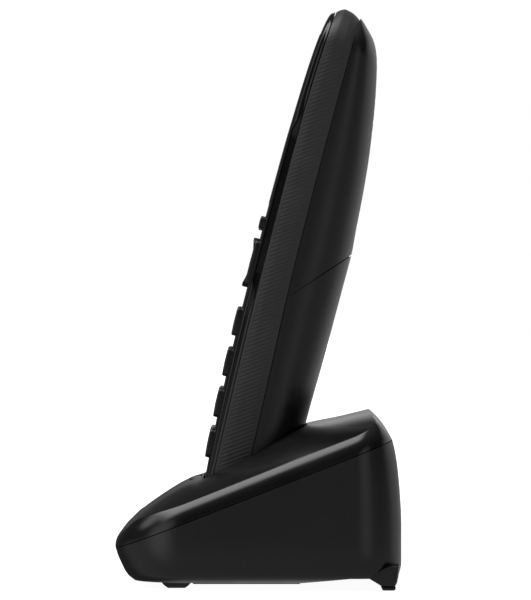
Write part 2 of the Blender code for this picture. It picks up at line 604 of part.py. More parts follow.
# ------------------------------------------------------------------ the base
BASE_RING = rounded_outline(BASE_HALF_W, BASE_Y0 + BASE_FRONT_BOW, BASE_Y1, BASE_R_FRONT, BASE_R_REAR, side=8, arc=6, edge=8)
front_tuck = smooth_curve((2.1, 3.8, 7.6, 12.2, 16), (6.2, 4.1, 2.0, 0.3, 0.0))
side_tuck = smooth_curve((2.1, 3.2, 4.6, 7.0, 11.0, 14.0), (7.0, 3.6, 1.8, 0.7, 0.1, 0.0))
rear_tuck = smooth_curve((2.1, 4.4, 8.0, 20, 28.7, 38.3, 44, 47), (1.5, 0.9, 0.1, 0.1, 0.5, 1.4, 2.4, 3.2))


def base_point(i, z, inset):
    x, y, nx, ny = BASE_RING[i]
    share_f, share_r = max(0.0, -ny), max(0.0, ny)
    pull = inset + side_tuck(z) * nx * nx
    pull += front_tuck(z) * share_f * share_f + rear_tuck(z) * share_r * share_r
    x, y = x - nx * pull, y - ny * pull
    y -= BASE_FRONT_BOW * (1 - (x / BASE_HALF_W) ** 2) * share_f
    # the sides draw in a little towards the front
    x *= 1 - 0.07 * max(0.0, (10 - y) / 55) ** 2
    return x, y


def base_outline(z, inset):
    return [base_point(i, z, inset) for i in range(len(BASE_RING))]


def seam_z(d):
    return SEAM_Z0 + math.tan(math.radians(SEAM_RISE_DEG)) * d


def seam_cutter(name, gap, upward):
    """A prism across the base whose face is the joint line, gap above it."""
    far = 95.0 if upward else -30.0
    profile = [(d, seam_z(d) + gap) for d in (-6.0, 97.0)] + [(97.0, far), (-6.0, far)]
    rings = [[(x, d + BASE_Y0, z) for d, z in profile] for x in (-80, 80)]
    return place(name, loft(name, rings, cap_first=True, cap_last=True), cutter=True)


def joint_ring(inset):
    """The base's outline where the joint crosses it."""
    ring = []
    for i in range(len(BASE_RING)):
        z = 25.0
        for _ in range(6):
            x, y = base_point(i, z, inset)
            z = seam_z(y - BASE_Y0)
        ring.append((x, y, z))
    return ring


def crease_ring(rim):
    """Where the rounded edge meets the top surface, in plan."""
    out = []
    for (x, y, z), (_, _, nx, ny) in zip(rim, BASE_RING):
        pull = EDGE_IN_SIDE * nx * nx + EDGE_IN_REAR * max(0.0, ny) ** 2 + EDGE_IN_FRONT * max(0.0, -ny) ** 2
        out.append((x - nx * pull, y - ny * pull))
    return out


def top_surface(x, y, width):
    d = y - BASE_Y0
    centre = top_z(d)
    low = min(seam_z(d) + EDGE_H, centre - 0.2)
    share = min(1.0, abs(x) / max(width(y), 1e-6))
    return low + (centre - low) * (1 - share**4)


def top_solid(name, inset, offset, floor):
    """The base's whole body up to its top surface."""
    rim = joint_ring(inset)
    crease = crease_ring(rim)
    width = half_width_at([p for p, (_, _, nx, ny) in zip(crease, BASE_RING) if abs(ny) < 1e-6])
    rings = [[(x, y, floor) for x, y, z in rim], [(x, y, z - offset * 0.5) for x, y, z in rim]]
    turn = math.radians(48)
    for share in (0.3, 0.55, 0.78, 1.0):
        ring = []
        for (x, y, z), (cx, cy), (_, _, nx, ny) in zip(rim, crease, BASE_RING):
            z -= offset * 0.5
            lean_back = 0.6 * max(0.0, ny) ** 2
            across = lean_back * share + (1 - lean_back) * (1 - math.cos(share * turn)) / (1 - math.cos(turn))
            high = top_surface(cx, cy, width) - offset
            ring.append((x + (cx - x) * across, y + (cy - y) * across, z + (high - z) * math.sin(share * turn) / math.sin(turn)))
        rings.append(ring)
    for k in (0.93, 0.82, 0.68, 0.52, 0.35, 0.17, 0.0):
        ring = []
        for cx, cy in crease:
            x, y = cx * k, 2.0 + (cy - 2.0) * k
            ring.append((x, y, top_surface(x, y, width) - offset))
        rings.append(ring)
    return loft(name, rings, cap_first=True)


# lower case: a tub cut along the slanted joint
levels = (2.1, 2.6, 3.8, 5.6, 8.0, 12.0, 16.0, 24.0, 32.0, 39.0, 44.0, 47.0, 53.0)
lower = place("base_lower_case", loft("base_lower_case", [[(x, y, z) for x, y in base_outline(z, 0.0)] for z in levels], cap_first=True, cap_last=True), SATIN)
hollow_levels = (4.1, 5.0, 7.0, 10.0, 16.0, 24.0, 32.0, 39.0, 44.0, 47.0, 57.0)
hollow = place("case_hollow", loft("case_hollow", [[(x, y, z) for x, y in base_outline(z, BASE_WALL)] for z in hollow_levels], cap_first=True, cap_last=True), cutter=True)
boolean(lower, hollow)
boolean(lower, seam_cutter("above_joint", -SEAM / 2, True))
# underside: a flat pad, a relief that rises to the back, and two rear legs
relief = [(59.0, -5.0), (59.0, 2.1), (74.0, 3.7), (96.0, 3.7), (96.0, -5.0)]
relief_cut = place("rear_relief", loft("rear_relief", [[(x, d + BASE_Y0, z) for d, z in relief] for x in (-70, 70)], cap_first=True, cap_last=True), cutter=True)
boolean(lower, place("base_pad", box_mesh("base_pad", (-36, 25.5 + BASE_Y0, 1.3), (36, 58.8 + BASE_Y0, 3.6), 0.3, 1), cutter=True), "UNION")
boolean(lower, relief_cut)
LEG_X = 39.0
for side, lx in (("left", -LEG_X), ("right", LEG_X)):
    leg = [(84.0, 1.2), (88.0, 1.2), (89.0, 4.2), (89.3, 8.0), (87.0, 8.0), (78.0, 4.6), (80.4, 3.4), (82.4, 2.2)]
    rings = [[(x, d + BASE_Y0, z) for d, z in leg] for x in (lx - 7, lx + 7)]
    boolean(lower, place("rear_leg_" + side, loft("rear_leg_" + side, rings, cap_first=True, cap_last=True), cutter=True), "UNION")
# sockets in the back wall
boolean(lower, place("line_port", box_mesh("line_port", (-22.3, 38, 8.9), (-9.7, 60, 19.1)), cutter=True))
boolean(lower, place("dc_port", cylinder_mesh("dc_port", 5.3, 22, "Y", (16, 52, 14.0), 20), cutter=True))
for side, sx in (("left", -BASE_SCREW_X), ("right", BASE_SCREW_X)):
    boolean(lower, place("case_post_" + side, cylinder_mesh("case_post_" + side, 4.4, 5.1, "Z", (sx, BASE_SCREW_Y, 5.85), 18), cutter=True), "UNION")
    boolean(lower, place("case_sink_" + side, cylinder_mesh("case_sink_" + side, 3.2, 12, "Z", (sx, BASE_SCREW_Y, -0.5), 18), cutter=True))
    boolean(lower, place("case_bore_" + side, cylinder_mesh("case_bore_" + side, 1.5, 30, "Z", (sx, BASE_SCREW_Y, 10), 12), cutter=True))

# top cover: shell, cradle pocket, button well
top = place("base_top_cover", top_solid("base_top_cover", 0.0, 0.0, 5.0), GLOSS)
boolean(top, seam_cutter("below_joint", SEAM / 2, False))
boolean(top, place("cover_hollow", top_solid("cover_hollow", BASE_WALL, BASE_WALL, -5.0), cutter=True))
body_limit = place("cover_limit", top_solid("cover_limit", 0.4, 0.7, -5.0), cutter=True)


def pocket_prism(name, grow, s0, s1):
    """The cradle's cross-section, straight along the handset's length."""
    half = POCKET_HALF_W + grow
    front, back = POCKET_FRONT_T - grow, POCKET_REAR_T + grow
    mid = 3.0
    pts = []
    for i in range(9):  # back half, a superellipse like the handset's own back
        a = math.pi / 2 * i / 8
        pts.append((half * math.cos(a) ** (2 / 3.0), mid + (back - mid) * math.sin(a) ** (2 / 3.0)))
    pts += [(-x, t) for x, t in pts[-2::-1]]
    r = 3.0 + grow
    pts.append((-half, front + r))
    pts.append((-half + r * 0.3, front + r * 0.3))
    pts.append((-half + r, front))
    pts += [(-x, t) for x, t in pts[-1:-4:-1]]
    rings = [[(x, t, s) for x, t in pts] for s in (s0, s1)]
    return loft(name, rings, cap_first=True, cap_last=True)


well_block = hs_cutter("pocket_block", pocket_prism("pocket_block", 1.7, POCKET_FLOOR_S - 1.6, 60))
boolean(well_block, body_limit, "INTERSECT")
boolean(top, well_block, "UNION")
rear_block = hs_cutter("rear_floor_block", pocket_prism("rear_floor_block", 1.5, REAR_FLOOR_S - 1.6, POCKET_FLOOR_S - 0.7))
boolean(rear_block, hs_cutter("rear_floor_side", box_mesh("rear_floor_side", (-60, REAR_FLOOR_T - 1.45, -40), (60, 60, 30))), "INTERSECT")
boolean(rear_block, body_limit, "INTERSECT")
boolean(top, rear_block, "UNION")
for side, sx in (("left", -BASE_SCREW_X), ("right", BASE_SCREW_X)):
    post = place("cover_post_" + side, cylinder_mesh("cover_post_" + side, 3.2, 50, "Z", (sx, BASE_SCREW_Y, 33.8), 16), cutter=True)
    boolean(post, body_limit, "INTERSECT")
    boolean(top, post, "UNION")
    boolean(top, place("cover_bore_" + side, cylinder_mesh("cover_bore_" + side, 1.45, 14, "Z", (sx, BASE_SCREW_Y, 9.5), 12), cutter=True))
boolean(top, hs_cutter("pocket_void", pocket_prism("pocket_void", 0.0, POCKET_FLOOR_S, 90)))
rear_void_cut = hs_cutter("rear_floor_void", pocket_prism("rear_floor_void", -0.2, REAR_FLOOR_S, POCKET_FLOOR_S + 0.6))
boolean(rear_void_cut, hs_cutter("rear_void_side", box_mesh("rear_void_side", (-60, REAR_FLOOR_T, -40), (60, 60, 30))), "INTERSECT")
boolean(top, rear_void_cut)
for side, cx in (("left", -CONTACT_X), ("right", CONTACT_X)):
    boolean(top, hs_cutter("floor_slot_" + side, box_mesh("floor_slot_" + side, (cx - 1.7, CONTACT_T - 2.0, -12), (cx + 1.7, CONTACT_T + 2.0, -3))))

# page button: it travels along the cradle's own slope, because the pocket
# leans forward under it, and its top is cut to the base's surface


def stadium(half_w, half_h, arc=6):
    pts = []
    for sign in (1, -1):
        for i in range(arc + 1):
            a = -math.pi / 2 + math.pi * i / arc
            pts.append((sign * (half_w - half_h + half_h * math.cos(a)), sign * half_h * math.sin(a)))
    return pts


def stadium_stack(name, levels):
    """Levels of (s, half width, half height, middle t, slope of the level)."""
    rings = []
    for z, w, h, t, slope in levels:
        rings.append([(x, t + y, z + slope * (y + t - BUTTON_T)) for x, y in stadium(w, h)])
    return loft(name, rings, cap_first=True, cap_last=True)


BW, BH, BT = BUTTON_W / 2, BUTTON_H / 2, BUTTON_T
hs_part(
    "page_button",
    stadium_stack(
        "page_button",
        (
            (-15.6, 2.4, 0.7, BT - 0.75, 0), (BUTTON_S - 4.4, 2.6, 0.7, BT - 0.75, 0), (BUTTON_S - 4.4, BW + 0.9, BH, BT, 0),
            (BUTTON_S - 3.5, BW + 0.9, BH, BT, 0), (BUTTON_S - 3.5, BW, BH, BT, 0),
            (BUTTON_S - 0.1, BW, BH, BT, BUTTON_SLOPE), (BUTTON_S + 0.15, BW - 0.4, BH - 0.4, BT, BUTTON_SLOPE),
        ),
    ),
    GLOSS,
)
boolean(top, hs_cutter("button_well", stadium_stack("button_well", ((-10.0, BW + 0.3, BH + 0.3, BT, 0), (12.0, BW + 0.3, BH + 0.3, BT, 0)))))
boolean(top, hs_cutter("button_room", stadium_stack("button_room", ((-9.0, BW + 1.3, BH + 0.42, BT, 0), (BUTTON_S - 3.2, BW + 1.3, BH + 0.42, BT, 0)))))

# inside the base
base_board = place("base_circuit_board", box_mesh("base_circuit_board", (-30, -30, 7.0), (30, 27, 8.6)), BOARD)
place("page_switch", box_mesh("page_switch", (-3.0, -27.4, 8.9), (3.0, -21.4, 15.6), 0.4), STEEL)
carrier = hs_part("contact_carrier", box_mesh("contact_carrier", (-13, CONTACT_T - 4, -18.6), (13, CONTACT_T + 2.7, -7.3), 0.3, 1), WHITE)
for side, cx in (("left", -CONTACT_X), ("right", CONTACT_X)):
    boolean(carrier, hs_cutter("carrier_slot_" + side, box_mesh("carrier_slot_" + side, (cx - 1.6, CONTACT_T - 1.9, -14.6), (cx + 1.6, CONTACT_T + 1.9, 0))))
    hs_part("charge_contact_" + side, box_mesh("charge_contact_" + side, (cx - 1.2, CONTACT_T - 1.5, -13.0), (cx + 1.2, CONTACT_T + 1.5, -5.35), 0.55), GOLD)

line_jack = place("line_jack", box_mesh("line_jack", (-22.0, 28.5, 9.2), (-10.0, 43.4, 18.8), 0.25, 1), SATIN)
boolean(line_jack, place("line_socket", box_mesh("line_socket", (-20.8, 33, 10.8), (-11.2, 50, 17.4)), cutter=True))
dc_jack = place("dc_jack", cylinder_mesh("dc_jack", 4.9, 14.0, "Y", (16, 36.4, 14.0), 16), SATIN)
ring = place("dc_socket", cylinder_mesh("dc_socket", 3.1, 14.0, "Y", (16, 40.0, 14.0), 16), cutter=True)
boolean(dc_jack, ring)
place("dc_jack_pin", cylinder_mesh("dc_jack_pin", 0.8, 8.7, "Y", (16, 37.65, 14.0), 12, 0.15), STEEL)

# feet
for side, fx in (("left", -30.0), ("right", 30.0)):
    rings = [[(fx + sx * w, BASE_Y0 + 20.4 + sy * h, z) for sx, sy in ((-1, -1), (1, -1), (1, 1), (-1, 1))] for z, w, h in ((0.0, 4.6, 2.6), (0.8, 5.4, 3.7), (1.8, 5.8, 4.6))]
    place("front_foot_" + side, loft("front_foot_" + side, rings, cap_first=True, cap_last=True), RUBBER)
    rings = [[(fx * LEG_X / 30.0 + sx * w, BASE_Y0 + 86.0 + sy * h, z) for sx, sy in ((-1, -1), (1, -1), (1, 1), (-1, 1))] for z, w, h in ((0.0, 6.0, 1.6), (0.3, 6.5, 2.0), (0.9, 6.5, 2.2))]
    place("rear_foot_" + side, loft("rear_foot_" + side, rings, cap_first=True, cap_last=True), RUBBER)
for side, sx in (("left", -BASE_SCREW_X), ("right", BASE_SCREW_X)):
    turned("base_screw_" + side, SCREW, STEEL, None, (sx, BASE_SCREW_Y, 4.6), (math.pi, 0, 0), 14)

bpy.context.view_layer.update()
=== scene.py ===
"""Looks of the cordless phone in its charging base."""

import math

import bmesh
import bpy
import numpy as np
from mathutils import Matrix, Vector


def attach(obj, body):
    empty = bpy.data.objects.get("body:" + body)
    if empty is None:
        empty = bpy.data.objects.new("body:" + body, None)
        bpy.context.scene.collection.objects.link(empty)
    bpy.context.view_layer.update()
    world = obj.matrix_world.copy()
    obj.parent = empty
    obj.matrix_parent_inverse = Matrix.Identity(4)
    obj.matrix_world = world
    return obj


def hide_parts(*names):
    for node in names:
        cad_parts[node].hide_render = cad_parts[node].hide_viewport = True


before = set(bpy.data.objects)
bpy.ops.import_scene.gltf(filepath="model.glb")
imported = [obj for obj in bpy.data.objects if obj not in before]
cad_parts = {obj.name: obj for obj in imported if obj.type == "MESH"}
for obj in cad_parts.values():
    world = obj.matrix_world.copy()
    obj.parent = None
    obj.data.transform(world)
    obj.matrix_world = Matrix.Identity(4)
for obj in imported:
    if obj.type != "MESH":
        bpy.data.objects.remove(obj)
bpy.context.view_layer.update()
MM = 0.001
scene = bpy.context.scene

# ------------------------------------------------------------------- camera
cam_data = bpy.data.cameras.new("camera")
cam_data.lens = 225
cam_data.sensor_width = 36
camera = bpy.data.objects.new("camera", cam_data)
camera.location = (1.2, 0.00286, 0.0895)
camera.rotation_euler = (math.pi / 2, 0, math.pi / 2)
scene.collection.objects.link(camera)
scene.camera = camera

# -------------------------------------------- the design, as in the CAD (mm)
LEAN_DEG = 14.5
HS_Y, HS_Z = -7.9, 28.7
HS_HALF_W, HS_BOTTOM, HS_TOP = 24.0, -5.0, 157.4
HS_R_TOP, HS_R_BOTTOM, HS_TAPER, HS_TOP_BOW = 12.5, 6.5, 1.3, 1.3
SEAM = 0.3
FRONT_WALL, COVER_WALL, CHASSIS_WALL, CHASSIS_IN, BAND_WALL = 1.5, 1.4, 1.4, 2.4, 2.0
RIM_IN, RIM_DROP, FACE_DOME = 0.6, 1.0, 0.2
FRONT_S = (-5, 3, 20, 33, 60, 90, 110, 120, 130, 140, 150, 158)
FRONT_T = (-8.9, -9.4, -10.4, -10.95, -11.5, -11.45, -11.2, -10.88, -10.48, -9.9, -9.15, -8.4)
REAR_S = (-5, 31, 50, 70, 82, 90, 100, 110, 120, 130, 139, 145, 149.5, 153.2, 155.8)
REAR_T = (17.2, 17.55, 17.95, 18.1, 18.2, 17.65, 17.05, 16.25, 15.05, 13.55, 11.8, 10.3, 8.3, 5.0, 2.2)
P1_S = (-5, 10, 30, 60, 90, 120, 136, 150, 158)
P1_T = (-6.6, -7.1, -7.6, -8.1, -8.2, -8.0, -7.4, -6.5, -5.8)
P2_S = (-5, 12, 20, 40, 76, 100, 150, 158)
P2_T = (3.2, 3.1, 2.9, 2.3, 1.3, 1.2, 1.7, 1.9)
COVER_SEAM_S, COVER_SEAM_T, COVER_SEAM_DEG = 82.5, 18.2, 47.6
KEY_W, KEY_H, KEY_PROUD, KEY_PITCH_X = 12.2, 9.3, 1.4, 13.6
ROW_S = (52.9, 39.75, 26.6, 13.6)
KEY_GAP = 0.35
NAV_S, NAV_W, NAV_H = 72.0, 17.0, 16.0
CALL_X, CALL_W, CALL_H = 15.3, 9.2, 14.5
SOFT_S, SOFT_X, SOFT_W, SOFT_H = 85.0, 11.0, 14.0, 4.0
LENS_S0, LENS_S1, LENS_HALF_W, LENS_BACK_T = 91.6, 147.0, 19.6, -8.0
HS_SCREW_X, HS_SCREW_S = 17.6, 60.75
BASE_HALF_W, BASE_Y0, BASE_Y1 = 50.0, -45.2, 45.2
BASE_R_FRONT, BASE_R_REAR, BASE_FRONT_BOW, BASE_WALL = 20.0, 15.0, 2.6, 2.0
TOP_D = (0.0, 1.6, 5.3, 9.7, 14.9, 20.9, 24.8, 28.6, 34.0, 44.0, 60.5, 72.0, 81.7)
TOP_Z = (12.9, 15.3, 19.1, 23.0, 26.8, 30.6, 32.5, 33.6, 36.7, 41.2, 49.6, 52.0, 54.3)
SEAM_RISE_DEG, SEAM_Z0 = 21.5, 11.7
EDGE_H, EDGE_IN_SIDE, EDGE_IN_REAR, EDGE_IN_FRONT = 6.0, 2.6, 5.9, 1.3
POCKET_FRONT_T, POCKET_REAR_T, POCKET_FLOOR_S, POCKET_HALF_W = -9.8, 18.1, -5.35, 23.9
REAR_FLOOR_S, REAR_FLOOR_T = -8.1, 3.0
BUTTON_T, BUTTON_S, BUTTON_W, BUTTON_H, BUTTON_SLOPE = -12.15, 1.0, 15.0, 3.0, 0.5
CONTACT_X, CONTACT_T = 9.0, -1.5
BASE_SCREW_X, BASE_SCREW_Y = 36.0, 22.0
LEG_X = 39.0

WORLD = Matrix.Identity(4)
HS = Matrix.Translation((0, HS_Y * MM, HS_Z * MM)) @ Matrix.Rotation(math.radians(-LEAN_DEG), 4, "X")


def at(location, rotation=(0, 0, 0), base=HS):
    """A place in the handset's frame, as a world matrix."""
    turn = Matrix.Rotation(rotation[2], 4, "Z") @ Matrix.Rotation(rotation[1], 4, "Y") @ Matrix.Rotation(rotation[0], 4, "X")
    return base @ Matrix.Translation([v * MM for v in location]) @ turn


def smooth_curve(xs, ys):
    """Monotone cubic through the design points."""
    x, y = np.array(xs, float), np.array(ys, float)
    h, d = np.diff(x), np.diff(y) / np.diff(x)
    m = np.zeros(len(x))
    m[0], m[-1] = d[0], d[-1]
    for i in range(1, len(x) - 1):
        if d[i - 1] * d[i] > 0:
            w1, w2 = 2 * h[i] + h[i - 1], h[i] + 2 * h[i - 1]
            m[i] = (w1 + w2) / (w1 / d[i - 1] + w2 / d[i])

    def value(v):
        a = np.clip(v, x[0], x[-1])
        i = np.clip(np.searchsorted(x, a) - 1, 0, len(h) - 1)
        u = (a - x[i]) / h[i]
        r = (1 + 2 * u) * (1 - u) ** 2 * y[i] + u * (1 - u) ** 2 * h[i] * m[i] + u * u * (3 - 2 * u) * y[i + 1] + u * u * (u - 1) * h[i] * m[i + 1]
        return float(r) if np.ndim(v) == 0 else r

    return value


front_t = smooth_curve(FRONT_S, FRONT_T)
rear_t = smooth_curve(REAR_S, REAR_T)
part1_t = smooth_curve(P1_S, P1_T)
part2_t = smooth_curve(P2_S, P2_T)
top_z = smooth_curve(TOP_D, TOP_Z)
front_tuck = smooth_curve((2.1, 3.8, 7.6, 12.2, 16), (6.2, 4.1, 2.0, 0.3, 0.0))
side_tuck = smooth_curve((2.1, 3.2, 4.6, 7.0, 11.0, 14.0), (7.0, 3.6, 1.8, 0.7, 0.1, 0.0))
rear_tuck = smooth_curve((2.1, 4.4, 8.0, 20, 28.7, 38.3, 44, 47), (1.5, 0.9, 0.1, 0.1, 0.5, 1.4, 2.4, 3.2))


def rounded_outline(half_w, v0, v1, r0, r1, side, arc0, arc1, edge):
    """Points (x, v, nx, nv) of a rounded rectangle from the middle of its low
    edge up the right side to the middle of its high edge, then down the left."""
    pts = []
    for i in range(edge):
        pts.append(((half_w - r0) * i / edge, v0, 0.0, -1.0))
    for i in range(arc0 + 1):
        a = -math.pi / 2 + math.pi / 2 * i / arc0
        pts.append((half_w - r0 + r0 * math.cos(a), v0 + r0 + r0 * math.sin(a), math.cos(a), math.sin(a)))
    for i in range(1, side):
        pts.append((half_w, v0 + r0 + (v1 - r1 - v0 - r0) * i / side, 1.0, 0.0))
    for i in range(arc1 + 1):
        a = math.pi / 2 * i / arc1
        pts.append((half_w - r1 + r1 * math.cos(a), v1 - r1 + r1 * math.sin(a), math.cos(a), math.sin(a)))
    for i in range(1, edge + 1):
        pts.append(((half_w - r1) * (1 - i / edge), v1, 0.0, 1.0))
    return pts + [(-x, v, -nx, nv) for x, v, nx, nv in pts[1:-1]][::-1]


def hs_ring(side, arc0, arc1, edge):
    return rounded_outline(HS_HALF_W, HS_BOTTOM, HS_TOP - HS_TOP_BOW, HS_R_BOTTOM, HS_R_TOP, side, arc0, arc1, edge)


HS_FINE = hs_ring(46, 10, 16, 12)
HS_PLAIN = hs_ring(12, 4, 4, 3)


def hs_place(x, s, nx, ns, inset, drop):
    x, s = x - nx * inset, s - ns * inset - drop * max(0.0, ns) ** 2
    low = max(0.0, (95 - s) / 100)
    x *= 1 - HS_TAPER / HS_HALF_W * low * low
    if s > 100:
        lift = max(0.0, min(1.0, (s - 143) / 13))
        s += HS_TOP_BOW * lift * (1 - (x / HS_HALF_W) ** 2)
    return x, s


def hs_outline(inset, drop=0.0, ring=HS_FINE):
    return [hs_place(x, s, nx, ns, inset, drop) for x, s, nx, ns in ring]


def half_width_at(outline):
    right = sorted(((s, x) for x, s in outline if x >= 0), key=lambda p: p[0])
    ss, xs = [p[0] for p in right], [p[1] for p in right]
    return lambda s: float(np.interp(s, ss, xs))


def step(v, a, b):
    u = min(1.0, max(0.0, (v - a) / (b - a)))
    return u * u * (3 - 2 * u)


def front_point(x, s, edge_s, rho, offset):
    dome = FACE_DOME * (0.45 + 0.55 * math.exp(-(((s - 75) / 62) ** 4)))
    face = front_t(s) + dome * (x / 22.5) ** 2 + offset
    edge = part1_t(edge_s) - SEAM / 2
    end = max(0.0, (edge_s - 138) / 19)
    power = 7.0 - 3.8 * min(1.0, end)
    return edge + (face - edge) * (1 - rho**power) ** (1 / power)


def rear_point(x, s, edge_s, width, low, offset):
    edge = part2_t(edge_s) + SEAM / 2
    depth = rear_t(s) - offset - edge
    foot = max(0.0, (9.0 - s) / (9.0 - low))
    depth *= max(0.0, 1 - min(1.0, foot) ** 6) ** (1 / 6)
    xi = min(1.0, abs(x) / max(width(s), 1e-6))
    return edge + max(0.0, depth) * max(0.0, 1 - xi**2.7) ** (1 / 2.7)


def cap_rings(outline, rhos, height):
    rings = []
    for rho in rhos:
        ring = []
        for x, s in outline:
            m = min(max(s, 14.0), 132.0)
            px, ps = x * rho, m + (s - m) * rho
            ring.append((px, height(px, ps, s, rho), ps))
        rings.append(ring)
    return rings


FRONT_RHO = (1, 0.9996, 0.998, 0.995, 0.99, 0.982, 0.97, 0.955, 0.935, 0.91, 0.88, 0.84, 0.79, 0.72, 0.63, 0.5, 0.35, 0.18, 0)
REAR_RHO = (1, 0.9993, 0.997, 0.992, 0.984, 0.972, 0.955, 0.935, 0.91, 0.88, 0.84, 0.79, 0.73, 0.65, 0.55, 0.43, 0.29, 0.14, 0)
PLAIN_RHO = (1.0, 0.993, 0.972, 0.93, 0.86, 0.74, 0.56, 0.3, 0.0)


def front_rings(inset, offset, rhos=FRONT_RHO, ring=HS_FINE):
    return cap_rings(hs_outline(RIM_IN + inset, RIM_DROP, ring), rhos, lambda x, s, e, rho: front_point(x, s, e, rho, offset))


def rear_solid(inset, tail=0.0, ring=HS_PLAIN, rhos=PLAIN_RHO, tongue=0.0):
    outline = hs_outline(RIM_IN + inset, RIM_DROP, ring)
    width, low = half_width_at(outline), min(s for x, s in outline)

    def height(x, s, e, rho):
        return rear_point(x, s, e, width, low, inset) if rho < 1 else part2_t(e) + SEAM / 2

    lid = cap_rings(outline, (0.0, 0.55, 1.0), lambda x, s, e, rho: part2_t(e) + SEAM / 2 - tail)
    rings = cap_rings(outline, rhos, height)
    if tongue:
        low_lid = cap_rings(hs_outline(RIM_IN + inset + 0.45, RIM_DROP, ring), (0.0, 0.55, 1.0), lambda x, s, e, rho: part2_t(e) + SEAM / 2 - tongue)
        lip = [(x, part2_t(s) + SEAM / 2, s) for x, s in hs_outline(RIM_IN + inset + 0.43, RIM_DROP, ring)]
        return loft(low_lid + [lip] + rings)
    return loft(lid + (rings if tail else rings[1:]))


# -------------------------------------------------------------- mesh helpers
def to_mesh(bm, matrix=WORLD, weld=1e-6):
    bmesh.ops.remove_doubles(bm, verts=bm.verts, dist=weld)
    bmesh.ops.recalc_face_normals(bm, faces=bm.faces)
    bm.transform(matrix)
    mesh = bpy.data.meshes.new("m")
    bm.to_mesh(mesh)
    bm.free()
    return mesh


def loft(rings, closed=True, cap_first=False, cap_last=False, join_ends=False, matrix=WORLD):
    bm = bmesh.new()
    rows = [[bm.verts.new([c * MM for c in p]) for p in ring] for ring in rings]
    count = len(rows[0])
    pairs = list(zip(rows, rows[1:]))
    if join_ends:
        pairs.append((rows[-1], rows[0]))
    for a, b in pairs:
        for i in range(count if closed else count - 1):
            j = (i + 1) % count
            bm.faces.new((a[i], a[j], b[j], b[i]))
    if cap_first:
        bm.faces.new(rows[0][::-1])
    if cap_last:
        bm.faces.new(rows[-1])
    return to_mesh(bm, matrix)


def box_mesh(lo, hi, bevel=0.0, segments=4, posts=0.0, post_axis=2):
    bm = bmesh.new()
    bmesh.ops.create_cube(bm, size=1.0)
    size = [(h - l) * MM for l, h in zip(lo, hi)]
    centre = [(h + l) / 2 * MM for l, h in zip(lo, hi)]
    bmesh.ops.transform(bm, matrix=Matrix.Translation(centre) @ Matrix.Diagonal((*size, 1)), verts=bm.verts)
    if posts:
        others = [i for i in range(3) if i != post_axis]
        edges = [e for e in bm.edges if all(abs(e.verts[0].co[i] - e.verts[1].co[i]) < 1e-7 for i in others)]
        bmesh.ops.bevel(bm, geom=edges, offset=posts * MM, segments=8, profile=0.5, affect="EDGES")
    if bevel:
        sharp = [e for e in bm.edges if e.calc_face_angle(0) > 0.6]
        bmesh.ops.bevel(bm, geom=sharp, offset=bevel * MM, segments=segments, profile=0.5, affect="EDGES")
    return to_mesh(bm)


def cylinder_mesh(radius, depth, axis="Z", centre=(0, 0, 0), segments=48, bevel=0.0):
    bm = bmesh.new()
    bmesh.ops.create_cone(bm, cap_ends=True, segments=segments, radius1=radius * MM, radius2=radius * MM, depth=depth * MM)
    turn = {"Z": Matrix.Identity(4), "Y": Matrix.Rotation(math.pi / 2, 4, "X"), "X": Matrix.Rotation(math.pi / 2, 4, "Y")}[axis]
    bmesh.ops.transform(bm, matrix=Matrix.Translation([c * MM for c in centre]) @ turn, verts=bm.verts)
    if bevel:
        rims = [e for e in bm.edges if any(len(f.verts) > 4 for f in e.link_faces)]
        bmesh.ops.bevel(bm, geom=rims, offset=bevel * MM, segments=3, profile=0.5, affect="EDGES")
    return to_mesh(bm)


def temporary(mesh, matrix=WORLD):
    obj = bpy.data.objects.new("tool", mesh)
    scene.collection.objects.link(obj)
    obj.matrix_world = matrix
    return obj


def carve(obj, tools):
    """Runs a list of (operation, mesh, matrix) or (operation, object) on obj
    and keeps the result as its mesh."""
    helpers = []
    for tool in tools:
        other = tool[1] if isinstance(tool[1], bpy.types.Object) else temporary(tool[1], tool[2] if len(tool) > 2 else WORLD)
        helpers.append(other)
        mod = obj.modifiers.new("b", "BOOLEAN")
        mod.operation = {"-": "DIFFERENCE", "+": "UNION", "&": "INTERSECT"}[tool[0]]
        mod.object = other
        mod.solver = "EXACT"
    bpy.context.view_layer.update()
    graph = bpy.context.evaluated_depsgraph_get()
    made = bpy.data.meshes.new_from_object(obj.evaluated_get(graph))
    obj.modifiers.clear()
    obj.data = made
    for other in helpers:
        bpy.data.objects.remove(other, do_unlink=True)
    return obj


def piece(name, mesh, mat, body, replaces=(), matrix=WORLD, tools=(), sharp=32):
    obj = bpy.data.objects.new(name, mesh)
    scene.collection.objects.link(obj)
    obj.matrix_world = matrix
    bpy.context.view_layer.update()
    if tools:
        carve(obj, tools)
    obj.data = obj.data.copy()
    obj.data.transform(obj.matrix_world)
    obj.matrix_world = WORLD
    obj.data.name = name
    obj.data.materials.clear()
    obj.data.materials.append(mat)
    obj.data.polygons.foreach_set("material_index", [0] * len(obj.data.polygons))
    obj.data.shade_smooth()
    obj.data.set_sharp_from_angle(angle=math.radians(sharp))
    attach(obj, body)
    if replaces:
        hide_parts(*replaces)
    return obj


# ----------------------------------------------------------------- materials
def link(tree, a, b):
    tree.links.new(a, b)


def node(tree, kind, **inputs):
    made = tree.nodes.new(kind)
    for key, value in inputs.items():
        made.inputs[key.replace("_", " ")].default_value = value
    return made


def noise(tree, coords, scale, detail=3.0, rough=0.5):
    made = node(tree, "ShaderNodeTexNoise", Scale=scale, Detail=detail, Roughness=rough)
    link(tree, coords, made.inputs["Vector"])
    return made.outputs["Fac"]


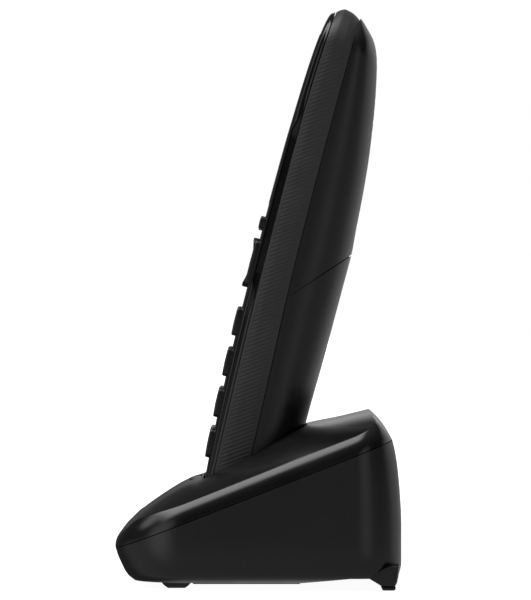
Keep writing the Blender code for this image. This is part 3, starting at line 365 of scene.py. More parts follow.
def remap(tree, value, a, b, c, d):
    made = tree.nodes.new("ShaderNodeMapRange")
    for key, v in (("From Min", a), ("From Max", b), ("To Min", c), ("To Max", d)):
        made.inputs[key].default_value = v
    link(tree, value, made.inputs["Value"])
    return made.outputs["Result"]


def maths(tree, op, a, b):
    made = tree.nodes.new("ShaderNodeMath")
    made.operation = op
    for i, v in enumerate((a, b)):
        if isinstance(v, (int, float)):
            made.inputs[i].default_value = v
        else:
            link(tree, v, made.inputs[i])
    return made.outputs[0]


def mix_colour(tree, factor, a, b):
    made = tree.nodes.new("ShaderNodeMix")
    made.data_type = "RGBA"
    if isinstance(factor, (int, float)):
        made.inputs[0].default_value = factor
    else:
        link(tree, factor, made.inputs[0])
    for i, v in ((6, a), (7, b)):
        if isinstance(v, tuple):
            made.inputs[i].default_value = (*v, 1.0)
        else:
            link(tree, v, made.inputs[i])
    return made.outputs[2]


def start(name):
    mat = bpy.data.materials.new(name)
    mat.use_nodes = True
    tree = mat.node_tree
    shader = tree.nodes["Principled BSDF"]
    coords = tree.nodes.new("ShaderNodeTexCoord").outputs["Object"]
    return mat, tree, shader, coords


def plastic(name, colour, rough, grain_mm=0.25, grain_um=6.0, rough_var=0.05, tint=0.18, dust=0.0, wear=0.5, ior=1.5, coat=0.0):
    """Moulded plastic: fine grain, slow gloss changes, scuffed edges, specks."""
    mat, tree, shader, coords = start(name)
    shader.inputs["IOR"].default_value = ior
    if coat:
        shader.inputs["Coat Weight"].default_value = coat
        shader.inputs["Coat Roughness"].default_value = 0.05
    slow = noise(tree, coords, 55.0, 4.0, 0.55)
    fine = noise(tree, coords, 1.0 / (grain_mm * MM), 2.0, 0.6)
    mid = noise(tree, coords, 900.0, 3.0, 0.6)
    edge = tree.nodes.new("ShaderNodeNewGeometry").outputs["Pointiness"]
    worn = remap(tree, edge, 0.53, 0.62, 0.0, wear)
    rubbed = maths(tree, "MULTIPLY", worn, remap(tree, mid, 0.35, 0.65, 0.3, 1.0))
    body = mix_colour(tree, remap(tree, slow, 0.3, 0.7, 0.0, 1.0), tuple(c * (1 - tint) for c in colour), tuple(c * (1 + tint) for c in colour))
    lighter = tuple(min(1.0, c * 1.9 + 0.006) for c in colour)
    body = mix_colour(tree, rubbed, body, lighter)
    if dust:
        specks = noise(tree, coords, 2600.0, 1.0, 0.5)
        body = mix_colour(tree, remap(tree, specks, 0.74, 0.80, 0.0, dust), body, (0.22, 0.21, 0.2))
    link(tree, body, shader.inputs["Base Color"])
    r = maths(tree, "ADD", remap(tree, slow, 0.3, 0.7, rough - rough_var, rough + rough_var), remap(tree, fine, 0.2, 0.8, -0.03, 0.03))
    r = maths(tree, "ADD", r, maths(tree, "MULTIPLY", rubbed, 0.12))
    link(tree, r, shader.inputs["Roughness"])
    bump = node(tree, "ShaderNodeBump", Strength=1.0, Distance=grain_um * 1e-6)
    link(tree, fine, bump.inputs["Height"])
    link(tree, bump.outputs["Normal"], shader.inputs["Normal"])
    return mat


def metal(name, colour, rough, stretch=(1, 1, 12)):
    mat, tree, shader, coords = start(name)
    shader.inputs["Metallic"].default_value = 1.0
    mapping = tree.nodes.new("ShaderNodeMapping")
    mapping.inputs["Scale"].default_value = stretch
    link(tree, coords, mapping.inputs["Vector"])
    brushed = noise(tree, mapping.outputs["Vector"], 1500.0, 4.0, 0.6)
    slow = noise(tree, coords, 220.0, 3.0, 0.5)
    link(tree, mix_colour(tree, slow, tuple(c * 0.82 for c in colour), colour), shader.inputs["Base Color"])
    link(tree, maths(tree, "ADD", remap(tree, brushed, 0.2, 0.8, rough - 0.08, rough + 0.08), remap(tree, slow, 0.3, 0.7, -0.04, 0.06)), shader.inputs["Roughness"])
    bump = node(tree, "ShaderNodeBump", Strength=0.6, Distance=4e-6)
    link(tree, brushed, bump.inputs["Height"])
    link(tree, bump.outputs["Normal"], shader.inputs["Normal"])
    return mat


def separate(tree, coords):
    made = tree.nodes.new("ShaderNodeSeparateXYZ")
    link(tree, coords, made.inputs[0])
    return made.outputs


def along_handset(tree, coords):
    """Distance up the handset in metres."""
    made = tree.nodes.new("ShaderNodeVectorMath")
    made.operation = "DOT_PRODUCT"
    made.inputs[1].default_value = (0, math.sin(math.radians(LEAN_DEG)), math.cos(math.radians(LEAN_DEG)))
    link(tree, coords, made.inputs[0])
    off = (HS_Y * math.sin(math.radians(LEAN_DEG)) + HS_Z * math.cos(math.radians(LEAN_DEG))) * MM
    return maths(tree, "SUBTRACT", made.outputs["Value"], off)


def window_mask(tree, coords, half_w, s0, s1, soft=0.0002):
    """1 inside a rectangle of the display, in the handset's frame."""
    across = maths(tree, "ABSOLUTE", separate(tree, coords)[0], 0)
    s = along_handset(tree, coords)
    inside = remap(tree, across, half_w * MM - soft, half_w * MM + soft, 1.0, 0.0)
    low = remap(tree, s, s0 * MM - soft, s0 * MM + soft, 0.0, 1.0)
    high = remap(tree, s, s1 * MM - soft, s1 * MM + soft, 1.0, 0.0)
    return maths(tree, "MULTIPLY", inside, maths(tree, "MULTIPLY", low, high))


def lens_material():
    mat, tree, shader, coords = start("display_window")
    shader.inputs["IOR"].default_value = 1.5
    window = window_mask(tree, coords, 16.6, 98.5, 141.5)
    slow = noise(tree, coords, 90.0, 3.0, 0.5)
    display = mix_colour(tree, slow, (0.020, 0.024, 0.027), (0.027, 0.031, 0.034))
    link(tree, mix_colour(tree, window, (0.004, 0.004, 0.0045), display), shader.inputs["Base Color"])
    smear = noise(tree, coords, 35.0, 5.0, 0.65)
    link(tree, remap(tree, smear, 0.35, 0.7, 0.03, 0.10), shader.inputs["Roughness"])
    return mat


def board_material():
    mat, tree, shader, coords = start("circuit_board")
    brick = tree.nodes.new("ShaderNodeTexBrick")
    for key, v in (("Scale", 260.0), ("Mortar Size", 0.06), ("Brick Width", 0.9), ("Row Height", 0.35)):
        brick.inputs[key].default_value = v
    brick.inputs["Color1"].default_value = (0.012, 0.11, 0.045, 1)
    brick.inputs["Color2"].default_value = (0.016, 0.14, 0.06, 1)
    brick.inputs["Mortar"].default_value = (0.03, 0.21, 0.10, 1)
    link(tree, coords, brick.inputs["Vector"])
    vias = tree.nodes.new("ShaderNodeTexVoronoi")
    vias.inputs["Scale"].default_value = 420.0
    link(tree, coords, vias.inputs["Vector"])
    pads = remap(tree, vias.outputs["Distance"], 0.10, 0.14, 1.0, 0.0)
    link(tree, mix_colour(tree, pads, brick.outputs["Color"], (0.55, 0.5, 0.34)), shader.inputs["Base Color"])
    link(tree, remap(tree, noise(tree, coords, 300.0), 0.3, 0.7, 0.32, 0.5), shader.inputs["Roughness"])
    bump = node(tree, "ShaderNodeBump", Strength=0.7, Distance=3e-5)
    link(tree, brick.outputs["Fac"], bump.inputs["Height"])
    link(tree, bump.outputs["Normal"], shader.inputs["Normal"])
    return mat


def cell_material():
    mat, tree, shader, coords = start("cell_jacket")
    s = along_handset(tree, coords)
    band = remap(tree, maths(tree, "ABSOLUTE", maths(tree, "SUBTRACT", s, 0.0359), 0), 0.0135, 0.0137, 0.0, 1.0)
    slow = noise(tree, coords, 120.0)
    jacket = mix_colour(tree, slow, (0.035, 0.13, 0.16), (0.05, 0.18, 0.21))
    link(tree, mix_colour(tree, band, jacket, (0.5, 0.5, 0.48)), shader.inputs["Base Color"])
    link(tree, remap(tree, slow, 0.3, 0.7, 0.22, 0.36), shader.inputs["Roughness"])
    bump = node(tree, "ShaderNodeBump", Strength=0.5, Distance=2e-5)
    link(tree, noise(tree, coords, 1800.0), bump.inputs["Height"])
    link(tree, bump.outputs["Normal"], shader.inputs["Normal"])
    return mat


def lcd_material():
    mat, tree, shader, coords = start("lcd_glass")
    window = window_mask(tree, coords, 16.6, 98.5, 141.5)
    cells = tree.nodes.new("ShaderNodeTexBrick")
    for key, v in (("Scale", 900.0), ("Mortar Size", 0.05), ("Brick Width", 0.5), ("Row Height", 0.5)):
        cells.inputs[key].default_value = v
    cells.inputs["Color1"].default_value = (0.20, 0.25, 0.22, 1)
    cells.inputs["Color2"].default_value = (0.22, 0.27, 0.24, 1)
    cells.inputs["Mortar"].default_value = (0.15, 0.19, 0.17, 1)
    link(tree, coords, cells.inputs["Vector"])
    link(tree, mix_colour(tree, window, (0.6, 0.61, 0.6), cells.outputs["Color"]), shader.inputs["Base Color"])
    link(tree, remap(tree, noise(tree, coords, 80.0), 0.3, 0.7, 0.08, 0.16), shader.inputs["Roughness"])
    return mat


GLOSS = plastic("gloss_black", (0.0085, 0.0085, 0.009), 0.20, grain_mm=0.35, grain_um=1.2, rough_var=0.035, dust=0.25)
FACE = plastic("face_black", (0.0085, 0.0085, 0.009), 0.13, grain_mm=0.6, grain_um=0.8, rough_var=0.03, dust=0.2)
SATIN = plastic("satin_black", (0.0095, 0.0095, 0.01), 0.32, grain_mm=0.22, grain_um=7.0, dust=0.25)
CASE = plastic("case_black", (0.0095, 0.0095, 0.01), 0.28, grain_mm=0.2, grain_um=6.0, dust=0.25)
GRIP = plastic("grip_black", (0.040, 0.040, 0.041), 0.50, grain_mm=0.18, grain_um=9.0, dust=0.15, wear=0.25)
KEYS = plastic("key_black", (0.0115, 0.0115, 0.012), 0.3, grain_mm=0.2, grain_um=3.5, dust=0.2)
RUBBER = plastic("foot_rubber", (0.016, 0.016, 0.0165), 0.8, grain_mm=0.3, grain_um=22.0, rough_var=0.06, dust=0.6, wear=0.7)
WHITE = plastic("white_plastic", (0.72, 0.72, 0.7), 0.45, grain_mm=0.3, grain_um=7.0, tint=0.04, wear=0.1)
SILICONE = plastic("silicone", (0.46, 0.46, 0.47), 0.65, grain_mm=0.25, grain_um=10.0, tint=0.05, wear=0.1)
INK = plastic("legend_white", (0.62, 0.62, 0.62), 0.5, grain_mm=0.1, grain_um=2.0, tint=0.05, wear=0.0)
INK_GREEN = plastic("legend_green", (0.05, 0.36, 0.09), 0.5, grain_mm=0.1, grain_um=2.0, tint=0.06, wear=0.0)
INK_RED = plastic("legend_red", (0.45, 0.03, 0.025), 0.5, grain_mm=0.1, grain_um=2.0, tint=0.06, wear=0.0)
STEEL = metal("plated_steel", (0.60, 0.60, 0.58), 0.30)
GOLD = metal("contact_gold", (0.83, 0.63, 0.30), 0.26)
LENS = lens_material()
BOARD = board_material()
CELL = cell_material()
LCD = lcd_material()

FINISH = {
    "base_circuit_board": BOARD, "handset_circuit_board": BOARD, "battery_left": CELL, "battery_right": CELL,
    "lcd_module": LCD, "lcd_holder": WHITE, "nav_pivot": WHITE, "contact_carrier": WHITE, "keypad_membrane": SILICONE,
    "charge_contact_left": GOLD, "charge_contact_right": GOLD, "handset_contact_left": GOLD, "handset_contact_right": GOLD,
}
for name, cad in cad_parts.items():
    mat = FINISH.get(name)
    if mat is None:
        steel = ("screw", "battery_contact", "spring", "receiver", "microphone", "ringer", "shield", "switch", "jack_pin")
        mat = STEEL if any(w in name for w in steel) else RUBBER if "foot" in name else SATIN
    cad.data.materials.clear()
    cad.data.materials.append(mat)
    cad.data.polygons.foreach_set("material_index", [0] * len(cad.data.polygons))
    cad.data.shade_smooth()
    cad.data.set_sharp_from_angle(angle=math.radians(34))

# ------------------------------------------------------------- front shell


def face_frame(x, s):
    slope = (front_t(s + 3) - front_t(s - 3)) / 6
    return (x, front_t(s) + FACE_DOME * (x / 22.5) ** 2, s), (math.pi / 2 - math.atan(slope), 0, 0)


def rounded_rect(w, h, r, arc=8):
    """Counter-clockwise points of a w by h rectangle with round corners."""
    r = max(min(r, w / 2 - 1e-3, h / 2 - 1e-3), 0.02)
    pts = []
    for cx, cy, a0 in ((w / 2 - r, -h / 2 + r, -90), (w / 2 - r, h / 2 - r, 0), (-w / 2 + r, h / 2 - r, 90), (-w / 2 + r, -h / 2 + r, 180)):
        for i in range(arc + 1):
            a = math.radians(a0 + 90 * i / arc)
            pts.append((cx + r * math.cos(a), cy + r * math.sin(a)))
        # even steps along the straight side that follows
        nx_, ny_ = {-90: (w / 2, 0), 0: (0, h / 2), 90: (-w / 2, 0), 180: (0, -h / 2)}[a0]
        pts.append((nx_, ny_))
    # the side points belong after each corner
    return pts


def slot_tool(x, s, w, h, radius):
    loc, rot = face_frame(x, s)
    return ("-", box_mesh((-w / 2 - KEY_GAP, -h / 2 - KEY_GAP, -5.5), (w / 2 + KEY_GAP, h / 2 + KEY_GAP, 5.0), posts=radius), at(loc, rot))


DIAL = ("1", "2", "3", "4", "5", "6", "7", "8", "9", "star", "0", "hash")
slots = []
for n, label in enumerate(DIAL):
    slots.append(slot_tool((n % 3 - 1) * KEY_PITCH_X, ROW_S[n // 3], KEY_W, KEY_H, 1.6))
for kx in (-CALL_X, CALL_X):
    slots.append(slot_tool(kx, NAV_S, CALL_W, CALL_H, 1.6))
for kx in (-SOFT_X, SOFT_X):
    slots.append(slot_tool(kx, SOFT_S, SOFT_W, SOFT_H, 1.3))
slots.append(slot_tool(0, NAV_S, NAV_W, NAV_H, 3.4))
slots.append(("-", box_mesh((-LENS_HALF_W - 0.3, -20, LENS_S0 - 0.3), (LENS_HALF_W + 0.3, -5, LENS_S1 + 0.3), posts=1.6, post_axis=1), HS))
slots.append(("-", box_mesh((-6.0, -14, 150.0), (6.0, -5.5, 151.5), posts=0.7, post_axis=1), HS))
slots.append(("-", cylinder_mesh(0.8, 12, "Y", (0, -9, 3.6), 24), HS))
for sx in (-HS_SCREW_X, HS_SCREW_X):
    slots.append(("+", cylinder_mesh(2.3, 7.3, "Y", (sx, -6.25, HS_SCREW_S), 24), HS))
    slots.append(("-", cylinder_mesh(1.4, 6.4, "Y", (sx, -5.2, HS_SCREW_S), 20), HS))


def front_outline(deep):
    """The shell's edge, pulled in by a share of a small flare along the keys
    and the top, and by a share of a groove beside the display."""
    out = []
    for x, s, nx, ns in HS_FINE:
        flare, groove = rim_form(s)
        out.append(hs_place(x, s, nx, ns, RIM_IN + deep[0] * flare + deep[1] * groove, RIM_DROP))
    return out


def rim_form(s):
    return 1 - step(s, 57, 63) + step(s, 121, 127), step(s, 62, 67) * (1 - step(s, 116, 121))


def rim_ring(deep, rise):
    ring = []
    for (x, s), (_, s0, _, _) in zip(front_outline(deep), HS_FINE):
        flare, groove = rim_form(s0)
        ring.append((x, part1_t(s) - SEAM / 2 - rise[0] * flare - rise[1] * groove, s))
    return ring


def crown_ring(x, s, e, rho):
    """The face, kept clear of the flare and the groove at its edge."""
    flare, groove = rim_form(e)
    t = front_point(x, s, e, rho, 0.0)
    return min(t, part1_t(e) - SEAM / 2 - 0.74 * flare - 2.05 * groove - 0.3 * (1 - rho)) if rho > 0.97 else t


outer = [rim_ring((0, 0), (0, 0)), rim_ring((0.0, 0.0), (0.1, 0.05)), rim_ring((0.22, 0.9), (0.40, 0.1)), rim_ring((0.31, 0.9), (0.66, 1.65))]
outer += cap_rings(front_outline((0.32, 0.18)), FRONT_RHO, crown_ring)
inner = front_rings(FRONT_WALL, FRONT_WALL, FRONT_RHO)
inner[0] = [(x, t + 0.28, s) for x, t, s in inner[0]]
tongue = [[(x, part1_t(s) - SEAM / 2 + d, s) for x, s in hs_outline(RIM_IN + i, RIM_DROP)] for i, d in ((1.0, 0.0), (1.02, 0.28))]
piece("front_shell", loft(outer[::-1] + tongue + inner), FACE, "handset", ["handset_front_shell"], HS, slots)

# display window, with the face's own curve
lens_body = loft(cap_rings(hs_outline(RIM_IN, RIM_DROP), (0.0, 0.55, 1.0), lambda x, s, e, rho: 3.0) + front_rings(0.0, -0.15))
piece(
    "display_window", box_mesh((-LENS_HALF_W, -15, LENS_S0), (LENS_HALF_W, LENS_BACK_T, LENS_S1), posts=1.4, post_axis=1), LENS,
    "handset", ["display_lens"], HS, [("&", lens_body, HS)],
)


# ---------------------------------------------------------------------- keys
def key_mesh(w, h, proud, bevel, flange, top, low, corner, crown=0.12, arc=8, steps=6):
    rings = []
    levels = [(flange, -low), (flange, -top), (0.0, -top), (0.0, proud - crown - bevel)]
    for i in range(1, steps + 1):
        a = math.pi / 2 * i / steps
        levels.append((-bevel * (1 - math.cos(a)), proud - crown - bevel + bevel * math.sin(a)))
    for d, z in levels:
        rings.append([(x, y, z) for x, y in rounded_rect(w + 2 * d, h + 2 * d, corner + d, arc)])
    rim = rings[-1]
    for k in (0.9, 0.75, 0.55, 0.3, 0.0):
        rings.append([(x * k, y * k, proud - crown * k**2.5) for x, y, _ in rim])
    return loft(rings, cap_first=True)


def text_mesh(words, size, x=0.0, y=0.0, z=0.0, bold=0.0):
    """Flat raised lettering in the key's frame, sizes in mm."""
    curve = bpy.data.curves.new("t", "FONT")
    curve.body = words
    curve.size = size * MM
    curve.align_x, curve.align_y = "CENTER", "CENTER"
    curve.extrude = 0.02 * MM
    curve.offset = bold * MM
    curve.resolution_u = 3
    obj = temporary(curve)
    bpy.context.view_layer.update()
    mesh = bpy.data.meshes.new_from_object(obj.evaluated_get(bpy.context.evaluated_depsgraph_get()))
    bpy.data.objects.remove(obj, do_unlink=True)
    mesh.transform(Matrix.Translation((x * MM, y * MM, z * MM)))
    return mesh


def joined(meshes):
    bm = bmesh.new()
    for mesh in meshes:
        bm.from_mesh(mesh)
    bmesh.ops.remove_doubles(bm, verts=bm.verts, dist=1e-7)
    out = bpy.data.meshes.new("m")
    bm.to_mesh(out)
    bm.free()
    return out


def flat_shape(points, z, thick=0.04):
    return loft([[(x, y, z - thick / 2) for x, y in points], [(x, y, z + thick / 2) for x, y in points]], cap_first=True, cap_last=True)


LETTERS = {"2": "ABC", "3": "DEF", "4": "GHI", "5": "JKL", "6": "MNO", "7": "PQRS", "8": "TUV", "9": "WXYZ"}
SIGNS = {"star": "*", "hash": "#"}
for n, label in enumerate(DIAL):
    kx, ks = (n % 3 - 1) * KEY_PITCH_X, ROW_S[n // 3]
    loc, rot = face_frame(kx, ks)
    node_name = "key_" + label
    piece("cap_" + label, key_mesh(KEY_W, KEY_H, KEY_PROUD, 0.55, 0.7, 2.4, 3.0, 1.6), KEYS, node_name, [node_name], at(loc, rot))
    z = KEY_PROUD + 0.0
    if label in LETTERS:
        meshes = [text_mesh(label, 4.6, -2.4, 0.0, z, 0.02), text_mesh(LETTERS[label], 2.1, 2.2, -0.15, z, 0.01)]
    elif label == "star":
        meshes = [text_mesh("*", 6.2, 0.0, -0.9, z, 0.03)]
    else:
        meshes = [text_mesh(SIGNS.get(label, label), 4.6, 0.0, 0.0, z, 0.02)]
    piece("legend_" + label, joined(meshes), INK, node_name, (), at(loc, rot), sharp=20)


def handset_glyph(z, turn):
    """A plain receiver shape: a curved bar with two ends."""
    pts = []
    for i in range(13):
        a = math.radians(150 - 120 * i / 12)
        pts.append((2.5 * math.cos(a) * 1.0, 2.1 * math.sin(a) - 0.9))
    for i in range(13):
        a = math.radians(30 + 120 * i / 12)
        pts.append((1.75 * math.cos(a), 1.25 * math.sin(a) - 0.85))
    bar = flat_shape(pts, z)
    ends = [flat_shape([(sx * 1.85 + px, -0.25 + py) for px, py in rounded_rect(1.15, 1.3, 0.3, 3)], z) for sx in (-1, 1)]
    mesh = joined([bar] + ends)
    mesh.transform(Matrix.Rotation(turn, 4, "Z"))
    return mesh


for label, kx, ink, turn in (("talk_key", -CALL_X, INK_GREEN, math.radians(48)), ("end_key", CALL_X, INK_RED, 0.0)):
    loc, rot = face_frame(kx, NAV_S)
    piece("cap_" + label, key_mesh(CALL_W, CALL_H, 1.2, 0.55, 0.5, 2.4, 3.0, 1.5), KEYS, label, [label], at(loc, rot))
    piece("glyph_" + label, handset_glyph(1.2, turn), ink, label, (), at(loc, rot), sharp=20)
for label, kx in (("soft_key_left", -SOFT_X), ("soft_key_right", SOFT_X)):
    loc, rot = face_frame(kx, SOFT_S)
    piece("cap_" + label, key_mesh(SOFT_W, SOFT_H, 1.45, 0.45, 0.5, 2.4, 3.0, 1.3, crown=0.08), KEYS, label, [label], at(loc, rot))
    bar = flat_shape([(px, py) for px, py in rounded_rect(4.2, 0.55, 0.25, 4)], 1.45)
    piece("mark_" + label, bar, INK, label, (), at(loc, rot), sharp=20)

nav_loc, nav_rot = face_frame(0, NAV_S)
NAV = at(nav_loc, nav_rot)
dish = ("-", cylinder_mesh(24.0, 30.0, "X", (0, 0, 24.8), 360), NAV)
hole = ("-", cylinder_mesh(3.4, 14.0, "Z", (0, 0, 0), 64), NAV)
piece("rocker", key_mesh(NAV_W, NAV_H, 1.8, 0.45, 0.6, 2.5, 3.1, 3.4, crown=0.0, arc=12), KEYS, "nav_key", ["nav_key"], NAV, [dish, hole])


def dish_z(y):
    return 24.8 - math.sqrt(24.0**2 - y * y)


arrows = []
for ang in range(4):
    a = math.radians(90 * ang)
    tri = [(-0.95, -0.45), (0.95, -0.45), (0.0, 0.75)]
    pts = []
    for x, y in tri:
        y += 5.75
        pts.append((x * math.cos(a) - y * math.sin(a), x * math.sin(a) + y * math.cos(a)))
    low = [(x, y, dish_z(y) - 0.02) for x, y in pts]
    high = [(x, y, dish_z(y) + 0.03) for x, y in pts]
    arrows.append(loft([low, high], cap_first=True, cap_last=True))
piece("rocker_arrows", joined(arrows), INK, "nav_key", (), NAV, sharp=20)


def turned_mesh(profile, steps=64):
    """A solid of revolution about Z; the profile starts and ends on the axis."""
    rings = []
    for i in range(steps):
        a = 2 * math.pi * i / steps
        rings.append([(r * math.cos(a), r * math.sin(a), z) for r, z in profile])
    bm = bmesh.new()
    rows = [[bm.verts.new([c * MM for c in p]) for p in ring] for ring in rings]
    for a, b in zip(rows, rows[1:] + rows[:1]):
        for i in range(len(profile) - 1):
            bm.faces.new((a[i], a[i + 1], b[i + 1], b[i]))
    bmesh.ops.remove_doubles(bm, verts=bm.verts, dist=1e-7)
    bmesh.ops.dissolve_degenerate(bm, edges=bm.edges, dist=1e-8)
    return to_mesh(bm, weld=1e-7)


def round_over(r, z, radius, steps=6):
    """The profile's outer corner at (r, z), rounded, from the top down."""
    return [(r - radius + radius * math.sin(math.pi / 2 * i / steps), z - radius + radius * math.cos(math.pi / 2 * i / steps)) for i in range(steps + 1)]


ok_profile = [(0, 0.68), (1.4, 0.72)] + round_over(2.8, 0.75, 0.4) + [(2.8, -4.4), (3.6, -4.4), (3.6, -4.9), (0, -4.9)]
piece("ok_cap", turned_mesh(ok_profile), KEYS, "ok_key", ["ok_key"], NAV)
ring_profile = [(1.15, 0.735), (1.15, 0.78), (1.45, 0.78), (1.45, 0.735)]
bm = bmesh.new()
rows = [[bm.verts.new((r * math.cos(2 * math.pi * i / 48) * MM, r * math.sin(2 * math.pi * i / 48) * MM, z * MM)) for r, z in ring_profile] for i in range(48)]
for a, b in zip(rows, rows[1:] + rows[:1]):
    for i in range(4):
        bm.faces.new((a[i], a[(i + 1) % 4], b[(i + 1) % 4], b[i]))
piece("ok_ring", to_mesh(bm), INK, "ok_key", (), NAV, sharp=20)

# ---------------------------------------------------------- side grip frame
RIDGE_PITCH, RIDGE_DEPTH, RIDGE_DEG = 1.15, 0.12, 35.0
BAND_SHARE = (0.0, 0.13, 0.33, 0.6, 0.84, 1.0)
band_inset = smooth_curve(BAND_SHARE, (0.6, 0.25, 0.0, 0.0, 0.25, 0.6))
band_drop = smooth_curve(BAND_SHARE, (0.9, 0.4, 0.05, 0.4, 0.9, 1.3))


def grip_mesh():
    ring = hs_ring(560, 44, 78, 44)
    half = len(ring) // 2 + 1
    run = [0.0]
    for a, b in zip(ring, ring[1:half]):
        run.append(run[-1] + math.hypot(b[0] - a[0], b[1] - a[1]))
    run += run[1:-1][::-1]
    shares = [0.0, 0.02] + [0.05 + 0.9 * i / 34 for i in range(35)] + [0.98, 1.0]
    c, s_ = math.cos(math.radians(RIDGE_DEG)), math.sin(math.radians(RIDGE_DEG))
    rings = []
    for share in shares:
        inset0, drop = band_inset(share), band_drop(share)
        mask = step(share, 0.05, 0.12) * (1 - step(share, 0.89, 0.96))
        row = []
        for (x, s, nx, ns), u in zip(ring, run):
            px, ps = hs_place(x, s, nx, ns, inset0, drop)
            a, b = part1_t(ps) + SEAM / 2, part2_t(ps) - SEAM / 2
            t = a + (b - a) * share
            phase = (u * c - t * s_) / RIDGE_PITCH
            crest = 0.5 + 0.5 * math.cos(2 * math.pi * phase)
            keep = mask * (1 - step(ps, 139, 151)) * step(ps, 2, 8)
            dx, ds = hs_place(x, s, nx, ns, inset0 + RIDGE_DEPTH * keep * (1 - crest**0.8), drop)
            row.append((dx, t, ds))
        rings.append(row)
    for share, inset, drop in ((1.0, BAND_WALL + 0.6, 0.6), (0.0, BAND_WALL + 0.6, 0.6)):
        row = []
        for x, s, nx, ns in ring:
            px, ps = hs_place(x, s, nx, ns, inset, drop)
            a, b = part1_t(ps) + SEAM / 2, part2_t(ps) - SEAM / 2
            row.append((px, a + (b - a) * share, ps))
        rings.append(row)
    return loft(rings, join_ends=True)


plate_slots = [("-", box_mesh((cx - 2.0, CONTACT_T - 2.3, -9), (cx + 2.0, CONTACT_T + 2.3, 0), posts=0.5), HS) for cx in (-CONTACT_X, CONTACT_X)]
piece("grip_band", grip_mesh(), GRIP, "handset", ["side_grip_frame"], HS, plate_slots, sharp=50)

# --------------------------------------------------- rear shell and its door
SEAM_AT = at((0, COVER_SEAM_T, COVER_SEAM_S), (math.radians(COVER_SEAM_DEG), 0, 0))


def seam_block(above, gap):
    lo, hi = ((-60, -80, gap), (60, 80, 130)) if above else ((-60, -80, -160), (60, 80, -gap))
    return box_mesh(lo, hi)


chassis = temporary(rear_solid(CHASSIS_IN, 1.0), HS)
carve(chassis, [("-", seam_block(True, 1.7), SEAM_AT)])
upper_void = temporary(rear_solid(1.7, 2.0), HS)
carve(upper_void, [("-", seam_block(False, -3.2), SEAM_AT)])
tray = temporary(box_mesh((-13.1, 2.75, 8.0), (13.1, 25, 61.8)), HS)
carve(tray, [("&", rear_solid(CHASSIS_IN + 0.1, 1.0), HS)])
backing = temporary(rear_solid(0.45, 0.0), HS)
carve(backing, [("-", seam_block(True, 0.5), SEAM_AT), ("-", seam_block(False, 0.27), SEAM_AT), ("-", rear_solid(2.2, 1.5), HS)])
rear_tools = [
    ("-", seam_block(False, 0.0), SEAM_AT), ("+", backing), ("+", chassis), ("-", rear_solid(CHASSIS_IN + CHASSIS_WALL, 3.0), HS), ("-", upper_void),
    ("+", tray), ("-", box_mesh((-11.9, 3.9, 9.2), (11.9, 30, 60.6), posts=0.0), HS),
]
for sx in (-HS_SCREW_X, HS_SCREW_X):
    post = temporary(cylinder_mesh(3.5, 28, "Y", (sx, 11.4, HS_SCREW_S), 32), HS)
    carve(post, [("&", rear_solid(CHASSIS_IN + 0.15, 5.0), HS)])
    rear_tools += [
        ("+", post), ("-", cylinder_mesh(1.45, 30, "Y", (sx, 5, HS_SCREW_S), 24), HS), ("-", cylinder_mesh(2.8, 26, "Y", (sx, 17.0, HS_SCREW_S), 32), HS),
    ]
for i in range(5):
    row_s = 121.0 + 3.4 * i
    rear_tools.append(("-", box_mesh((-6.5, 5.0, row_s), (6.5, 25, row_s + 1.3), posts=0.6, post_axis=1), HS))
piece("rear_shell", rear_solid(0.0, 0.0, HS_FINE, REAR_RHO, 0.28), SATIN, "handset", ["handset_rear_shell"], HS, rear_tools)
piece(
    "battery_door", rear_solid(0.0, 0.0, HS_FINE, REAR_RHO), SATIN, "battery_cover", ["battery_cover"], HS,
    [("-", rear_solid(COVER_WALL, 1.5), HS), ("-", seam_block(True, -SEAM), SEAM_AT)],
)

# ------------------------------------------------------------------ the base


def base_ring(side, arc, edge):
    return rounded_outline(BASE_HALF_W, BASE_Y0 + BASE_FRONT_BOW, BASE_Y1, BASE_R_FRONT, BASE_R_REAR, side, arc, arc, edge)


BASE_FINE, BASE_PLAIN = base_ring(28, 22, 14), base_ring(8, 6, 4)


def base_point(entry, z, inset):
    x, y, nx, ny = entry
    share_f, share_r = max(0.0, -ny), max(0.0, ny)
    pull = inset + side_tuck(z) * nx * nx
    pull += front_tuck(z) * share_f * share_f + rear_tuck(z) * share_r * share_r
    x, y = x - nx * pull, y - ny * pull
    y -= BASE_FRONT_BOW * (1 - (x / BASE_HALF_W) ** 2) * share_f
    x *= 1 - 0.07 * max(0.0, (10 - y) / 55) ** 2
    return x, y


def seam_z(d):
    return SEAM_Z0 + math.tan(math.radians(SEAM_RISE_DEG)) * d


def seam_tool(gap, upward):
    far = 95.0 if upward else -30.0
    profile = [(d, seam_z(d) + gap) for d in (-6.0, 97.0)] + [(97.0, far), (-6.0, far)]
    return loft([[(x, d + BASE_Y0, z) for d, z in profile] for x in (-80, 80)], cap_first=True, cap_last=True)


def top_surface(x, y, width):
    d = y - BASE_Y0
    centre = top_z(d)
    low = min(seam_z(d) + EDGE_H, centre - 0.2)
    share = min(1.0, abs(x) / max(width(y), 1e-6))
    return low + (centre - low) * (1 - share**4)


